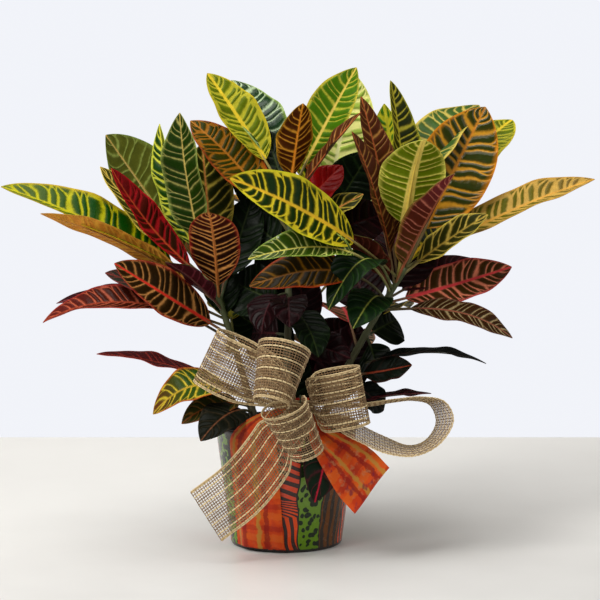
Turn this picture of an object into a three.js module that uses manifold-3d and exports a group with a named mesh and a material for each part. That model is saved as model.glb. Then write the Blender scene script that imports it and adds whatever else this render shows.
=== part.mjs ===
// Potted croton with a woven ribbon bow, real size in millimetres, +Z up.
// The origin is the middle of the pot cover's underside. The front looks to -Y.
import * as THREE from "three";
import { mergeVertices } from "three/addons/utils/BufferGeometryUtils.js";
import Module from "manifold-3d";

const wasm = await Module();
wasm.setup();

// Space left between two pieces that touch
const GAP = 0.3;

// The place of a box's underside among its sides, and the corners of the two triangles of a quad
const BOX_UNDERSIDE = 5;
const QUAD_CORNERS = 6;

// Pot cover: a printed plastic cup
const COVER_HEIGHT = 139;
const COVER_BASE_RADIUS = 64;
const COVER_TOP_RADIUS = 82;
const COVER_WALL = 1.6;
const COVER_FLOOR = 3;
const COVER_BEAD = 1.2;
const COVER_BEAD_DEPTH = 5;
const COVER_EDGE = 2;
const ROUND_SEGMENTS = 40;

// Nursery pot that stands in the cover
const NURSERY_BASE_RADIUS = 53;
const NURSERY_TOP_RADIUS = 73;
const NURSERY_TOP = 134;
const NURSERY_WALL = 1.4;
const NURSERY_BEAD = 2.4;
const NURSERY_BEAD_DEPTH = 12;
const DRAIN_COUNT = 6;
const DRAIN_RADIUS = 5;
const DRAIN_CIRCLE = 38;

// Potting soil with a low mound
const SOIL_EDGE_TOP = 121;
const SOIL_MOUND = 8;
const SOIL_RINGS = 3;

// Sides of the drain holes and of the holes that the stems and the wire stand in
const HOLE_SIDES = 12;

// Stems: each rises straight out of its hole, then leans
const STEM_FOOT = 62;
const STEM_STRAIGHT_TOP = 132;
const STEM_SIDES = 8;
const STEM_SEGMENTS = 9;
const STEM_FOOT_RADIUS = 5;
const STEM_TOP_RADIUS = 2.8;
const STEM_SAMPLES = 4;

// Leaf blades
const BLADE_THICKNESS = 0.8;
const STALK_RADIUS = 1.6;
const STALK_LENGTH = 28;
const TIP_HALF_WIDTH = 0.6;
const BLADE_STATIONS = [0.1, 0.25, 0.42, 0.59, 0.76, 0.91, 1];
// Fewer on the leaves deep inside and on the sides that look away
const PLAIN_STATIONS = [0.12, 0.34, 0.6, 0.86, 1];
const BLADE_SHIFT = 0.93;
const BLADE_FULLNESS = 2.3;
const BLADE_TAPER = 0.85;
const DEFAULT_FOLD = 14;
const DEFAULT_WAVE = 2;
const WAVES = 2;

const LEAF_SHAPE = {
  bow: 0, droop: 0, fold: DEFAULT_FOLD, wave: DEFAULT_WAVE, stalk: STALK_LENGTH, plain: false,
};

// Stems by name: foot in the soil, the point that bends it, and its top
const STEMS = {
  left: { foot: [-34, -10], bend: [-52, -14, 215], top: [-84, -16, 305] },
  right: { foot: [36, -6], bend: [70, -12, 215], top: [136, -20, 320] },
  centre: { foot: [0, -30], bend: [2, -34, 250], top: [4, -8, 400] },
  back: { foot: [8, 38], bend: [20, 70, 230], top: [45, 95, 370] },
};

// The leaves of each stem. at: share of the leaning stem where the stalk starts.
// tip: where the leaf ends. face: the way its upper side looks. bow: how far its middle
// stands out to that side. droop: how far the outer third does. fold: rise of each half.
const LEAVES = {
  left: [
    { name: "far_left_lime", at: 0.93, tip: [-325, 0, 411], bow: 11, width: 74, fold: 24,
      face: [0.3, -0.4, 0.85], stalk: 60 },
    { name: "far_left_orange", at: 0.84, tip: [-273, -62, 385], bow: 17, width: 32, fold: 16,
      face: [0.2, 0.75, 0.6], stalk: 50 },
    { name: "crimson_strap", at: 0.96, tip: [-195, -50, 435], bow: -14, width: 42, fold: 24,
      face: [0.75, -0.65, 0.35], stalk: 36 },
    { name: "dark_strap", at: 0.98, tip: [-213, 14, 433], bow: -8, width: 54, fold: 16,
      face: [0.8, -0.55, 0.4], stalk: 40 },
    { name: "olive_back", at: 0.94, tip: [-211, 70, 467], bow: 0, width: 92, fold: 10,
      face: [0.45, 0.9, 0.3], stalk: 66 },
    { name: "lime_upright", at: 1, tip: [-146, 40, 481], bow: 14, width: 42, fold: 24,
      face: [-0.8, -0.6, 0.1], stalk: 46 },
    { name: "green_upright", at: 1, tip: [-119, -32, 496], bow: 12, width: 56, fold: 22,
      face: [-0.5, -0.85, 0.1], wave: 4, stalk: 50 },
    { name: "dark_orange_rib", at: 1, tip: [-97, 24, 459], bow: 4, width: 62, fold: 10,
      face: [0.3, -0.95, 0.1], stalk: 36 },
    { name: "red_rib", at: 0.64, tip: [-191, -68, 330], bow: 0, width: 60, fold: 14,
      face: [0.2, -0.75, 0.6], stalk: 30 },
    { name: "grey_red", at: 0.75, tip: [-205, -26, 315], bow: 4, width: 42, fold: 16,
      face: [0.3, -0.6, 0.7], stalk: 40 },
    { name: "red_arch", at: 0.7, tip: [-280, 8, 254], bow: 25, droop: 20, width: 44,
      fold: 26, face: [-0.1, -0.53, 0.85], stalk: 44 },
    { name: "red_arch_back", at: 0.6, tip: [-268, 44, 272], bow: 27, droop: 8, width: 40,
      fold: 14, face: [0, -0.4, 0.9], stalk: 60 },
    { name: "maroon_back", at: 0.8, tip: [-134, -70, 332], bow: 6, width: 40, fold: 12,
      face: [0.5, 0.6, 0.7], stalk: 20, plain: true },
    { name: "orange_vein_back", at: 0.88, tip: [-84, -112, 390], bow: 8, droop: 12, width: 58,
      fold: 8, face: [0.05, 0.75, 0.65], stalk: 20 },
    { name: "pale_rib", at: 0.86, tip: [-38, 16, 400], bow: 2, width: 54, fold: 10,
      face: [-0.2, -0.95, 0.2], stalk: 32 },
    { name: "maroon_thin", at: 0.26, tip: [-217, -10, 220], bow: 6, droop: 6, width: 38,
      fold: 12, face: [0.1, -0.15, 0.95], stalk: 46 },
    { name: "curled", at: 0.22, tip: [-151, -38, 155], bow: 26, droop: 18, width: 54,
      fold: 14, face: [-0.4, -0.6, 0.7], stalk: 34 },
    { name: "olive_low", at: 0.16, tip: [-118, -50, 146], bow: 16, droop: 6, width: 38,
      fold: 14, face: [-0.2, -0.7, 0.7], stalk: 20 },
    { name: "deep_beside_left", at: 0.72, tip: [-82, 30, 330], bow: 6, width: 44, fold: 8,
      stalk: 12, face: [0, -0.9, 0.3], plain: true },
    { name: "black_green_low", at: 0.12, tip: [-95, -88, 133], bow: 17, droop: 4, width: 48,
      fold: 8, face: [-0.25, -0.8, 0.55], stalk: 26 },
  ],
  centre: [
    { name: "top_lime", at: 0.98, tip: [-91, 40, 539], bow: 4, width: 58, fold: 20,
      face: [0.6, -0.8, 0.2], stalk: 56 },
    { name: "top_dark_shiny", at: 0.9, tip: [-64, 96, 530], bow: 21, width: 70, fold: 12,
      face: [0.5, -0.75, 0.4], stalk: 76 },
    { name: "red_rim", at: 0.86, tip: [-110, 26, 485], bow: 14, width: 58, fold: 14,
      face: [0.3, -0.8, 0.5], stalk: 40 },
    { name: "orange_brown_back", at: 1, tip: [19, -50, 507], bow: 2, width: 48, fold: 14,
      face: [-0.5, 0.8, 0.1], stalk: 26 },
    { name: "top_narrow_green", at: 1, tip: [80, 10, 546], bow: 4, width: 60, fold: 22,
      face: [-0.45, -0.88, 0.1], stalk: 40 },
    { name: "purple_narrow", at: 0.96, tip: [84, -44, 497], bow: 4, width: 28, fold: 20,
      face: [-0.6, -0.3, 0.6], stalk: 30 },
    { name: "red_young", at: 0.9, tip: [64, 20, 434], bow: 4, width: 42, fold: 12,
      face: [-0.2, -0.8, 0.5], stalk: 22 },
    { name: "orange_edge_small", at: 0.84, tip: [88, 8, 402], bow: 2, width: 32, fold: 16,
      face: [-0.3, -0.7, 0.6] },
    { name: "inner_left", at: 0.62, tip: [-27, -74, 252], bow: 16, width: 46,
      face: [-0.4, -0.6, 0.5], stalk: 18, plain: true },
    { name: "inner_middle", at: 0.6, tip: [4, -96, 262], bow: 14, width: 44,
      face: [0, -0.7, 0.6], stalk: 18, plain: true },
    { name: "inner_right", at: 0.56, tip: [36, -92, 228], bow: 14, width: 46,
      face: [0.3, -0.7, 0.5], stalk: 18, plain: true },
    { name: "inner_low_right", at: 0.4, tip: [72, -74, 224], bow: 10, width: 46,
      face: [0.3, -0.8, 0.5], stalk: 20, plain: true },
    { name: "deep_left", at: 0.56, tip: [-64, 24, 300], bow: 8, width: 64, fold: 8,
      face: [-0.2, -0.9, 0.3], stalk: 16, plain: true },
    { name: "deep_low_left", at: 0.45, tip: [-40, 30, 238], bow: 6, width: 66, fold: 8,
      face: [-0.1, -0.9, 0.3], stalk: 14, plain: true },
    { name: "deep_high_left", at: 0.78, tip: [-40, 24, 372], bow: 6, width: 52, fold: 8,
      face: [-0.2, -0.9, 0.2], stalk: 18, plain: true },
    { name: "deep_top_middle", at: 0.97, tip: [-24, 28, 474], bow: 4, width: 44, fold: 8,
      stalk: 14, face: [0, -0.9, 0.2], plain: true },
    { name: "deep_high_right", at: 0.8, tip: [120, 34, 380], bow: 8, width: 54, fold: 8,
      face: [0.1, -0.9, 0.3], stalk: 30, plain: true },
  ],
  right: [
    { name: "purple_pink_veins", at: 0.93, tip: [84, -24, 514], bow: 8, width: 42, fold: 22,
      face: [0.55, -0.85, 0], stalk: 46 },
    { name: "purple_front", at: 0.9, tip: [73, -62, 476], bow: 8, width: 42, fold: 22,
      face: [0.8, -0.5, 0.2], stalk: 40 },
    { name: "yellow_green_upright", at: 0.97, tip: [113, 46, 504], bow: -6, width: 62, fold: 24,
      face: [-0.6, -0.75, 0], stalk: 50 },
    { name: "bars_upright", at: 0.98, tip: [119, 24, 531], bow: 8, width: 56, fold: 24,
      face: [0.75, -0.65, 0], stalk: 50 },
    { name: "broad_green_back", at: 0.92, tip: [152, -84, 468], bow: 4, droop: 30, width: 76,
      fold: 8, face: [-0.1, 0.85, 0.5], stalk: 70 },
    { name: "big_orange_vein", at: 1, tip: [228, 24, 501], bow: 6, width: 88, fold: 10,
      face: [0, -0.95, 0.3], stalk: 50 },
    { name: "grey_green_behind", at: 0.98, tip: [225, 100, 501], bow: 52, width: 72, fold: 10,
      face: [-0.5, -0.75, 0.4], stalk: 96 },
    { name: "lime_yellow_behind", at: 0.98, tip: [267, 112, 483], bow: 28, width: 68, fold: 12,
      face: [-0.4, -0.8, 0.4], stalk: 104 },
    { name: "maroon_front", at: 0.9, tip: [185, -98, 432], bow: 4, width: 62, fold: 24,
      face: [-0.75, 0.6, 0.2], stalk: 30 },
    { name: "far_right_gold", at: 1, tip: [352, 6, 419], bow: 10, width: 54, fold: 24,
      face: [-0.3, -0.5, 0.8], stalk: 50 },
    { name: "green_under_gold", at: 0.95, tip: [227, -38, 382], bow: 4, width: 42, fold: 16,
      face: [-0.3, -0.6, 0.7], stalk: 26 },
    { name: "maroon_right", at: 0.82, tip: [218, 58, 323], bow: 6, width: 36, fold: 12,
      face: [-0.1, -0.7, 0.6], stalk: 24 },
    { name: "red_veined", at: 0.8, tip: [259, 12, 318], bow: -3, width: 56, fold: 12,
      face: [-0.1, -0.75, 0.6], stalk: 26 },
    { name: "orange_drooping", at: 0.76, tip: [256, -36, 242], bow: 15, droop: 16, width: 38,
      fold: 8, face: [0.2, -0.55, 0.75], stalk: 36 },
    { name: "black_narrow", at: 0.4, tip: [230, 4, 207], bow: 15, droop: 6, width: 28,
      fold: 12, face: [0, -0.15, 1], stalk: 34 },
    { name: "dark_red_rib", at: 0.36, tip: [143, -28, 210], bow: -3, width: 34, fold: 12,
      face: [-0.1, -0.75, 0.6], stalk: 24 },
    { name: "deep_under_stem", at: 0.62, tip: [98, 22, 190], bow: 10, width: 48, fold: 8,
      face: [0.3, -0.8, 0.3], stalk: 12, plain: true },
    { name: "deep_above_stem", at: 0.7, tip: [70, 38, 330], bow: 6, width: 66, fold: 8,
      face: [-0.1, -0.9, 0.3], stalk: 14, plain: true },
    { name: "deep_fan_right", at: 0.85, tip: [162, 24, 350], bow: 6, width: 54, fold: 8,
      stalk: 12, face: [0, -0.9, 0.3], plain: true },
    { name: "deep_beside_stem", at: 0.6, tip: [128, 34, 254], bow: 6, width: 56, fold: 8,
      face: [0.1, -0.9, 0.3], stalk: 14, plain: true },
    { name: "deep_behind_bow", at: 0.14, tip: [84, 26, 250], bow: 6, width: 64, fold: 8,
      stalk: 10, face: [0, -0.9, 0.3], plain: true },
    { name: "dark_end", at: 0.34, tip: [112, 0, 153], bow: 9, width: 36, fold: 12,
      face: [0.4, -0.8, 0.4], stalk: 20, plain: true },
    { name: "along_ribbon", at: 0.16, tip: [166, -14, 175], bow: 4, width: 26, fold: 10,
      face: [0, -0.1, 1], stalk: 24 },
    { name: "hero", at: 0.94, tip: [-60, -134, 429], bow: 16, droop: 2, width: 72, fold: 12,
      face: [0.25, -0.75, 0.6], stalk: 84 },
    { name: "glossy_green", at: 0.86, tip: [-41, -112, 339], bow: 46, width: 46, fold: 26,
      face: [-0.1, -0.7, 0.7], stalk: 90 },
    { name: "dark_red_edge", at: 0.82, tip: [-40, -92, 307], bow: 42, width: 52, fold: 12,
      face: [-0.1, -0.75, 0.65], stalk: 70 },
    { name: "brown_back", at: 0.88, tip: [72, -60, 362], bow: 4, width: 40, fold: 12,
      face: [0.3, 0.6, 0.7], stalk: 16, plain: true },
    { name: "dark_pendant", at: 0.88, tip: [47, -104, 282], bow: 48, width: 52, fold: 12,
      face: [-0.4, -0.7, 0.6], stalk: 36 },
    { name: "orange_spot", at: 0.8, tip: [74, -108, 262], bow: 22, width: 48, fold: 12,
      face: [-0.1, -0.8, 0.5], stalk: 26, plain: true },
    { name: "front_hanging", at: 0.12, tip: [32, -99, 66], bow: 34, droop: 24, width: 52,
      fold: 10, face: [0.2, -0.75, 0.6], stalk: 60 },
  ],
  back: [
    { name: "top_pale", at: 0.98, tip: [77, 66, 540], bow: 2, width: 74, fold: 8,
      face: [0.15, -1, 0.1], stalk: 50 },
    { name: "deep_low_behind", at: 0.04, tip: [-6, 34, 238], bow: 6, width: 58, fold: 8,
      face: [-0.1, -0.9, 0.3], stalk: 10, plain: true },
    { name: "deep_low_beside", at: 0.07, tip: [40, 34, 214], bow: 6, width: 60, fold: 8,
      face: [0.1, -0.9, 0.3], stalk: 10, plain: true },
    { name: "deep_gap_left", at: 0.35, tip: [-66, 56, 264], bow: 6, width: 60, fold: 8,
      face: [-0.1, -0.9, 0.3], stalk: 14, plain: true },
    { name: "deep_gap_middle", at: 0.42, tip: [14, 52, 320], bow: 6, width: 48, fold: 8,
      face: [0.1, -0.9, 0.3], stalk: 14, plain: true },
    { name: "deep_gap_high", at: 0.5, tip: [-30, 50, 344], bow: 6, width: 58, fold: 8,
      face: [-0.1, -0.9, 0.3], stalk: 14, plain: true },
    { name: "deep_gap_low", at: 0.28, tip: [76, 56, 250], bow: 6, width: 56, fold: 8,
      face: [0.1, -0.9, 0.3], stalk: 12, plain: true },
    { name: "deep_top_right", at: 0.95, tip: [98, 64, 448], bow: 6, width: 62, fold: 8,
      face: [0.1, -0.9, 0.3], stalk: 20, plain: true },
    { name: "deep_top_left", at: 0.9, tip: [-66, 60, 430], bow: 6, width: 60, fold: 8,
      face: [-0.1, -0.9, 0.3], stalk: 24, plain: true },
  ],
};

// Whorls of plainer leaves on the sides that look away. Bearings are in degrees, 90 straight
// back. reach: how far out the tips are. rise: how far above the stalk's start.
const WHORLS = {
  left: [
    { at: 0.86, count: 2, from: 78, to: 118, reach: 124, rise: 84, width: 50 },
    { at: 0.56, count: 1, from: 100, to: 100, reach: 116, rise: 36, width: 50 },
  ],
  centre: [],
  right: [
    { at: 0.86, count: 2, from: 40, to: 84, reach: 126, rise: 84, width: 52 },
    { at: 0.56, count: 2, from: 50, to: 100, reach: 116, rise: 30, width: 50 },
  ],
  back: [
    { at: 1, count: 3, from: 40, to: 150, reach: 84, rise: 112, width: 50 },
    { at: 0.84, count: 4, from: 16, to: 166, reach: 140, rise: 84, width: 56 },
    { at: 0.6, count: 3, from: 50, to: 130, reach: 156, rise: 44, width: 54 },
    { at: 0.36, count: 3, from: 56, to: 124, reach: 146, rise: 0, width: 50 },
  ],
};
const SEED = 41;
const DRAW_FACTOR = 1664525;
const DRAW_STEP = 1013904223;
const DRAW_RANGE = 2 ** 32;
const BEARING_SPREAD = 8;
const SIZE_SPREAD = 0.1;
const WHORL_BOW = 14;
const WHORL_DROOP = 12;
const WHORL_STEP = 0.03;
const WHORL_STALK = 46;

// Bow: two ribbons gathered in one wire. The woven one is in front of the plaid one.
const RIBBON_WIDTH = 64;
const RIBBON_THICKNESS = 1;
const PINCH_SHARE = 0.2;
const LOOP_SEGMENTS = 20;
const TAIL_SEGMENTS = 12;
const WRAP_SEGMENTS = 6;
const KNOT = [16, -108, 176];
const CORE_RADIUS = 7;
const CORE_HALF_LENGTH = 14;
const PLAID_CORE_HALF_LENGTH = 10;
const CORE_SPACING = 15.5;
const CORE_SIDES = 10;
const PLAID_CLEARANCE = 2.6;

// Loops of the woven ribbon that are rings round an axis, pinched to the knot on one side.
// reach and bulge: half sizes of the ring towards the knot and across. flare: how much
// wider its upper edge is. knot: where it leaves the gathered core, from the core's middle.
const LOOPS = [
  { name: "left", centre: [-60, -110, 220], axis: [0.42, -0.12, 0.9], reach: 31, bulge: 17,
    flare: 0, knot: [-13, 1, 3] },
  { name: "upper", centre: [-8, -152, 217], axis: [0.22, 0.42, 0.88], reach: 24, bulge: 24.5,
    flare: 0.18, knot: [-7, -5, 4] },
  { name: "lower", centre: [11, -158, 158], axis: [-0.4, -0.34, 0.85], reach: 18, bulge: 23,
    flare: 0.17, knot: [11, -5, -5] },
  { name: "right", centre: [57, -118, 185], axis: [-0.24, -0.05, 0.97], reach: 32, bulge: 17,
    flare: 0.06, knot: [13, 1, 4] },
];

// How steeply a ring narrows to the knot
const GATHER_POWER = 8;

// The wide open loop on the right, seen almost edge-on
const OPEN_LOOP = [
  [28, -107, 171], [50, -103, 160], [77, -97, 146], [110, -94, 130], [140, -92, 123],
  [163, -90, 132], [177, -86, 155], [169, -78, 174], [147, -70, 178], [122, -65, 175],
  [88, -64, 170], [52, -76, 172], [30, -104, 179],
];
// The way across it, from its start at the knot to its end there
const OPEN_LOOP_AXES = [
  [0.02, 0.97, 0.16], [0.02, 0.97, 0.12], [-0.24, 0.94, -0.2], [0.05, 0.97, -0.22], [0.05, 0.97, -0.24],
];
const OPEN_LOOP_SEGMENTS = 26;
const WOVEN_TAIL = [[4, -112, 168], [-4, -122, 148], [-24, -126, 116], [-50, -124, 85], [-88, -118, 54]];
const WOVEN_TAIL_AXES = [[0.54, -0.1, -0.84], [0.54, -0.1, -0.84]];
const PLAID_TAIL = [[21, -92, 172], [28, -95, 161], [37, -101, 141], [65, -110, 114], [95, -119, 83]];
const PLAID_TAIL_AXES = [[0.61, 0.1, 0.79], [0.61, 0.1, 0.79]];
const PINCH_RUN = 0.3;
const PLAID_OPENING = 0.86;

// The left plaid tail hangs round the front of the cover. Bearings are in radians from the front.
const WRAP_TOP = 166;
const WRAP_BOTTOM = 5;
const WRAP_BEARING = -0.5;
const WRAP_START = [6, -94, 172];

// Wire that ties them, with two legs pushed into the soil
const WIRE_RADIUS = 0.8;
const WIRE_CLEARANCE = 0.8;
const WIRE_FOOT = 92;
const WIRE_STRAIGHT_TOP = 142;
const WIRE_LEG_Y = -54;
const WIRE_LEG_X = [10, 22];
const WIRE_SIDES = 6;
const WIRE_SEGMENTS = 44;
const WIRE_SPREAD = 3;

function vec(list) {
  return new THREE.Vector3(...list);
}

function closed(geometry) {
  geometry.deleteAttribute("normal");
  geometry.deleteAttribute("uv");
  return mergeVertices(geometry, 1e-4);
}

function solid(geometry) {
  const body = closed(geometry);
  return new wasm.Manifold(new wasm.Mesh({
    numProp: 3,
    vertProperties: new Float32Array(body.attributes.position.array),
    triVerts: new Uint32Array(body.index.array),
  }));
}

function geometryOf(manifold) {
  const mesh = manifold.getMesh();
  const geometry = new THREE.BufferGeometry();
  geometry.setAttribute("position", new THREE.BufferAttribute(mesh.vertProperties, mesh.numProp));
  geometry.setIndex(new THREE.BufferAttribute(mesh.triVerts, 1));
  geometry.computeVertexNormals();
  return geometry;
}

function fused(solids) {
  let whole = solids[0];
  for (const piece of solids.slice(1)) {
    whole = whole.add(piece);
  }
  return whole;
}

function standing(geometry) {
  return geometry.rotateX(Math.PI / 2);
}

function lathe(profile) {
  const points = profile.map(([radius, height]) => new THREE.Vector2(radius, height));
  return solid(standing(new THREE.LatheGeometry(points, ROUND_SEGMENTS)));
}

function cylinder(radius, bottom, top, x, y, sides) {
  const geometry = standing(new THREE.CylinderGeometry(radius, radius, top - bottom, sides));
  return solid(geometry.translate(x, y, (top + bottom) / 2));
}

// Radius of the cover's outer wall at a height
function coverRadius(height) {
  return COVER_BASE_RADIUS + (COVER_TOP_RADIUS - COVER_BASE_RADIUS) * height / COVER_HEIGHT;
}

function potCover() {
  const top = COVER_HEIGHT;
  const inner = COVER_WALL;
  return lathe([
    [0, 0],
    [COVER_BASE_RADIUS - COVER_EDGE, 0],
    [coverRadius(COVER_EDGE), COVER_EDGE],
    [coverRadius(top - COVER_BEAD_DEPTH), top - COVER_BEAD_DEPTH],
    [coverRadius(top - COVER_BEAD_DEPTH) + COVER_BEAD, top - COVER_BEAD_DEPTH + COVER_BEAD],
    [coverRadius(top) + COVER_BEAD / 2, top],
    [coverRadius(top) - inner, top],
    [coverRadius(COVER_FLOOR) - inner, COVER_FLOOR],
    [0, COVER_FLOOR],
  ]);
}

const NURSERY_FLOOR = COVER_FLOOR + GAP;

// Radius of the nursery pot's inner wall at a height
function nurseryInner(height) {
  const rise = (height - NURSERY_FLOOR) / (NURSERY_TOP - NURSERY_FLOOR);
  return NURSERY_BASE_RADIUS + (NURSERY_TOP_RADIUS - NURSERY_BASE_RADIUS) * rise - NURSERY_WALL;
}

function nurseryPot() {
  const beadFoot = NURSERY_TOP - NURSERY_BEAD_DEPTH;
  let pot = lathe([
    [0, NURSERY_FLOOR],
    [NURSERY_BASE_RADIUS, NURSERY_FLOOR],
    [nurseryInner(beadFoot) + NURSERY_WALL, beadFoot],
    [nurseryInner(beadFoot) + NURSERY_WALL + NURSERY_BEAD, beadFoot],
    [NURSERY_TOP_RADIUS + NURSERY_BEAD, NURSERY_TOP],
    [nurseryInner(NURSERY_TOP), NURSERY_TOP],
    [nurseryInner(NURSERY_FLOOR + NURSERY_WALL), NURSERY_FLOOR + NURSERY_WALL],
    [0, NURSERY_FLOOR + NURSERY_WALL],
  ]);
  for (let i = 0; i < DRAIN_COUNT; i += 1) {
    const angle = 2 * Math.PI * i / DRAIN_COUNT;
    const x = DRAIN_CIRCLE * Math.cos(angle);
    const y = DRAIN_CIRCLE * Math.sin(angle);
    const bottom = NURSERY_FLOOR - NURSERY_WALL;
    const top = NURSERY_FLOOR + 2 * NURSERY_WALL;
    pot = pot.subtract(cylinder(DRAIN_RADIUS, bottom, top, x, y, HOLE_SIDES));
  }
  return pot;
}

// A point on a stem's leaning part, 0 at the soil and 1 at the top
function stemPoint(stem, along) {
  const start = new THREE.Vector3(stem.foot[0], stem.foot[1], STEM_STRAIGHT_TOP);
  const curve = new THREE.QuadraticBezierCurve3(start, vec(stem.bend), vec(stem.top));
  return curve.getPoint(along);
}

function potSoil() {
  const bottom = NURSERY_FLOOR + NURSERY_WALL + GAP;
  const edge = nurseryInner(SOIL_EDGE_TOP) - GAP;
  const profile = [[0, bottom], [nurseryInner(bottom) - GAP, bottom], [edge, SOIL_EDGE_TOP]];
  for (let i = 1; i <= SOIL_RINGS; i += 1) {
    const share = i / SOIL_RINGS;
    const height = SOIL_EDGE_TOP + SOIL_MOUND * Math.sin(share * Math.PI / 2);
    profile.push([edge * (1 - share), height]);
  }
  let soil = lathe(profile);
  for (const stem of Object.values(STEMS)) {
    const hole = cylinder(STEM_FOOT_RADIUS + 2 * GAP, STEM_FOOT - GAP, STEM_STRAIGHT_TOP,
      stem.foot[0], stem.foot[1], HOLE_SIDES);
    soil = soil.subtract(hole);
  }
  for (const x of WIRE_LEG_X) {
    const hole = cylinder(WIRE_RADIUS + 2 * GAP, WIRE_FOOT - GAP, STEM_STRAIGHT_TOP,
      x, WIRE_LEG_Y, HOLE_SIDES);
    soil = soil.subtract(hole);
  }
  return soil;
}

// A round rod that follows a list of points
function rod(points, startRadius, endRadius, segments, sides) {
  const curve = new THREE.CatmullRomCurve3(points.map(vec), false, "centripetal");
  const geometry = new THREE.CylinderGeometry(1, 1, 1, sides, segments);
  const frames = curve.computeFrenetFrames(segments, false);
  const position = geometry.attributes.position;
  for (let i = 0; i < position.count; i += 1) {
    const step = Math.round((0.5 - position.getY(i)) * segments);
    const share = step / segments;
    const radius = startRadius + (endRadius - startRadius) * share;
    const point = curve.getPointAt(share);
    point.addScaledVector(frames.normals[step], position.getX(i) * radius);
    point.addScaledVector(frames.binormals[step], position.getZ(i) * radius);
    position.setXYZ(i, point.x, point.y, point.z);
  }
  return solid(geometry);
}

function stemSolid(stem) {
  const points = [[stem.foot[0], stem.foot[1], STEM_FOOT]];
  points.push([stem.foot[0], stem.foot[1], (STEM_FOOT + STEM_STRAIGHT_TOP) / 2]);
  for (let i = 0; i <= STEM_SAMPLES; i += 1) {
    points.push(stemPoint(stem, i / STEM_SAMPLES).toArray());
  }
  return rod(points, STEM_FOOT_RADIUS, STEM_TOP_RADIUS, STEM_SEGMENTS, STEM_SIDES);
}

// The line through the middle of a leaf and the way its upper side looks
function leafLine(stem, leaf) {
  const start = stemPoint(stem, leaf.at);
  const tip = vec(leaf.tip);
  const chord = tip.clone().sub(start);
  const face = vec(leaf.face).projectOnPlane(chord.clone().normalize()).normalize();
  const near = start.clone().addScaledVector(chord, 1 / 3).addScaledVector(face, leaf.bow * 4 / 3);
  const far = start.clone().addScaledVector(chord, 2 / 3)
    .addScaledVector(face, leaf.bow * 4 / 3 + leaf.droop);
  return { curve: new THREE.CubicBezierCurve3(start, near, far, tip), face };
}

function bladeHalfWidth(leaf, share) {
  const place = Math.abs(2 * Math.pow(share, BLADE_SHIFT) - 1);
  const full = Math.pow(1 - Math.pow(place, BLADE_FULLNESS), BLADE_TAPER);
  return Math.max(TIP_HALF_WIDTH, leaf.width / 2 * full);
}

// A point of a leaf: across runs from -1 to 1 over its width and side from -1 below to 1 above
function leafPoint(line, leaf, stalkShare, along, across, side) {
  const centre = line.curve.getPoint(along);
  const tangent = line.curve.getTangent(along);
  const up = line.face.clone().projectOnPlane(tangent).normalize();
  const wide = tangent.clone().cross(up);
  const share = Math.max(0, (along - stalkShare) / (1 - stalkShare));
  const onStalk = along <= stalkShare + 1e-6;
  const half = onStalk ? STALK_RADIUS : bladeHalfWidth(leaf, share);
  const thick = onStalk ? STALK_RADIUS : BLADE_THICKNESS / 2;
  const fold = onStalk ? 0 : THREE.MathUtils.degToRad(leaf.fold);
  const swing = leaf.wave * Math.sin(2 * Math.PI * WAVES * share + across) * Math.sin(Math.PI * share);
  const rise = Math.abs(across) * (half * Math.sin(fold) + (onStalk ? 0 : swing));
  return centre.addScaledVector(wide, across * half * Math.cos(fold))
    .addScaledVector(up, rise + side * thick);
}

// Splits each quad of a box's underside along the diagonal of the quad above it, so that the
// two faces of a thin twisted sheet stay apart
function matchUnderside(geometry) {
  const under = geometry.groups[BOX_UNDERSIDE];
  for (let i = under.start; i < under.start + under.count; i += QUAD_CORNERS) {
    const [a, b, d, , c] = geometry.index.array.slice(i, i + QUAD_CORNERS);
    geometry.index.array.set([a, b, c, a, c, d], i);
  }
  return geometry;
}

function leafSolid(stem, row) {
  const leaf = { ...LEAF_SHAPE, ...row };
  const line = leafLine(stem, leaf);
  const stalkShare = leaf.stalk / line.curve.getLength();
  const stations = [0, stalkShare];
  for (const share of leaf.plain ? PLAIN_STATIONS : BLADE_STATIONS) {
    stations.push(stalkShare + (1 - stalkShare) * share);
  }
  const last = stations.length - 1;
  const geometry = matchUnderside(new THREE.BoxGeometry(2, 1, 2, 2, last, 1));
  const position = geometry.attributes.position;
  for (let i = 0; i < position.count; i += 1) {
    const along = stations[Math.round((position.getY(i) + 0.5) * last)];
    const point = leafPoint(line, leaf, stalkShare, along, position.getX(i), position.getZ(i));
    position.setXYZ(i, point.x, point.y, point.z);
  }
  return solid(geometry);
}

// Even random draws between -1 and 1 that start from a seed
function draws(seed) {
  let state = seed;
  return () => {
    state = (state * DRAW_FACTOR + DRAW_STEP) % DRAW_RANGE;
    return 2 * state / DRAW_RANGE - 1;
  };
}

function whorlLeaves(name) {
  const draw = draws(SEED + name.length);
  const leaves = [];
  for (const whorl of WHORLS[name]) {
    for (let i = 0; i < whorl.count; i += 1) {
      const at = whorl.at - i * WHORL_STEP;
      const start = stemPoint(STEMS[name], at);
      const step = whorl.count > 1 ? (whorl.to - whorl.from) / (whorl.count - 1) : 0;
      const bearing = THREE.MathUtils.degToRad(whorl.from + i * step + draw() * BEARING_SPREAD);
      const reach = whorl.reach * (1 + draw() * SIZE_SPREAD);
      const rise = whorl.rise * (1 + draw() * SIZE_SPREAD);
      const out = [Math.cos(bearing), Math.sin(bearing)];
      leaves.push({
        name: `whorl_${leaves.length}`,
        at,
        tip: [start.x + out[0] * reach, start.y + out[1] * reach, start.z + rise],
        face: [-out[0] * rise, -out[1] * rise, reach],
        width: whorl.width * (1 + draw() * SIZE_SPREAD),
        bow: WHORL_BOW,
        droop: WHORL_DROOP,
        stalk: WHORL_STALK,
        plain: true,
      });
    }
  }
  return leaves;
}

function allLeaves(name) {
  return [...LEAVES[name], ...whorlLeaves(name)];
}

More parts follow.
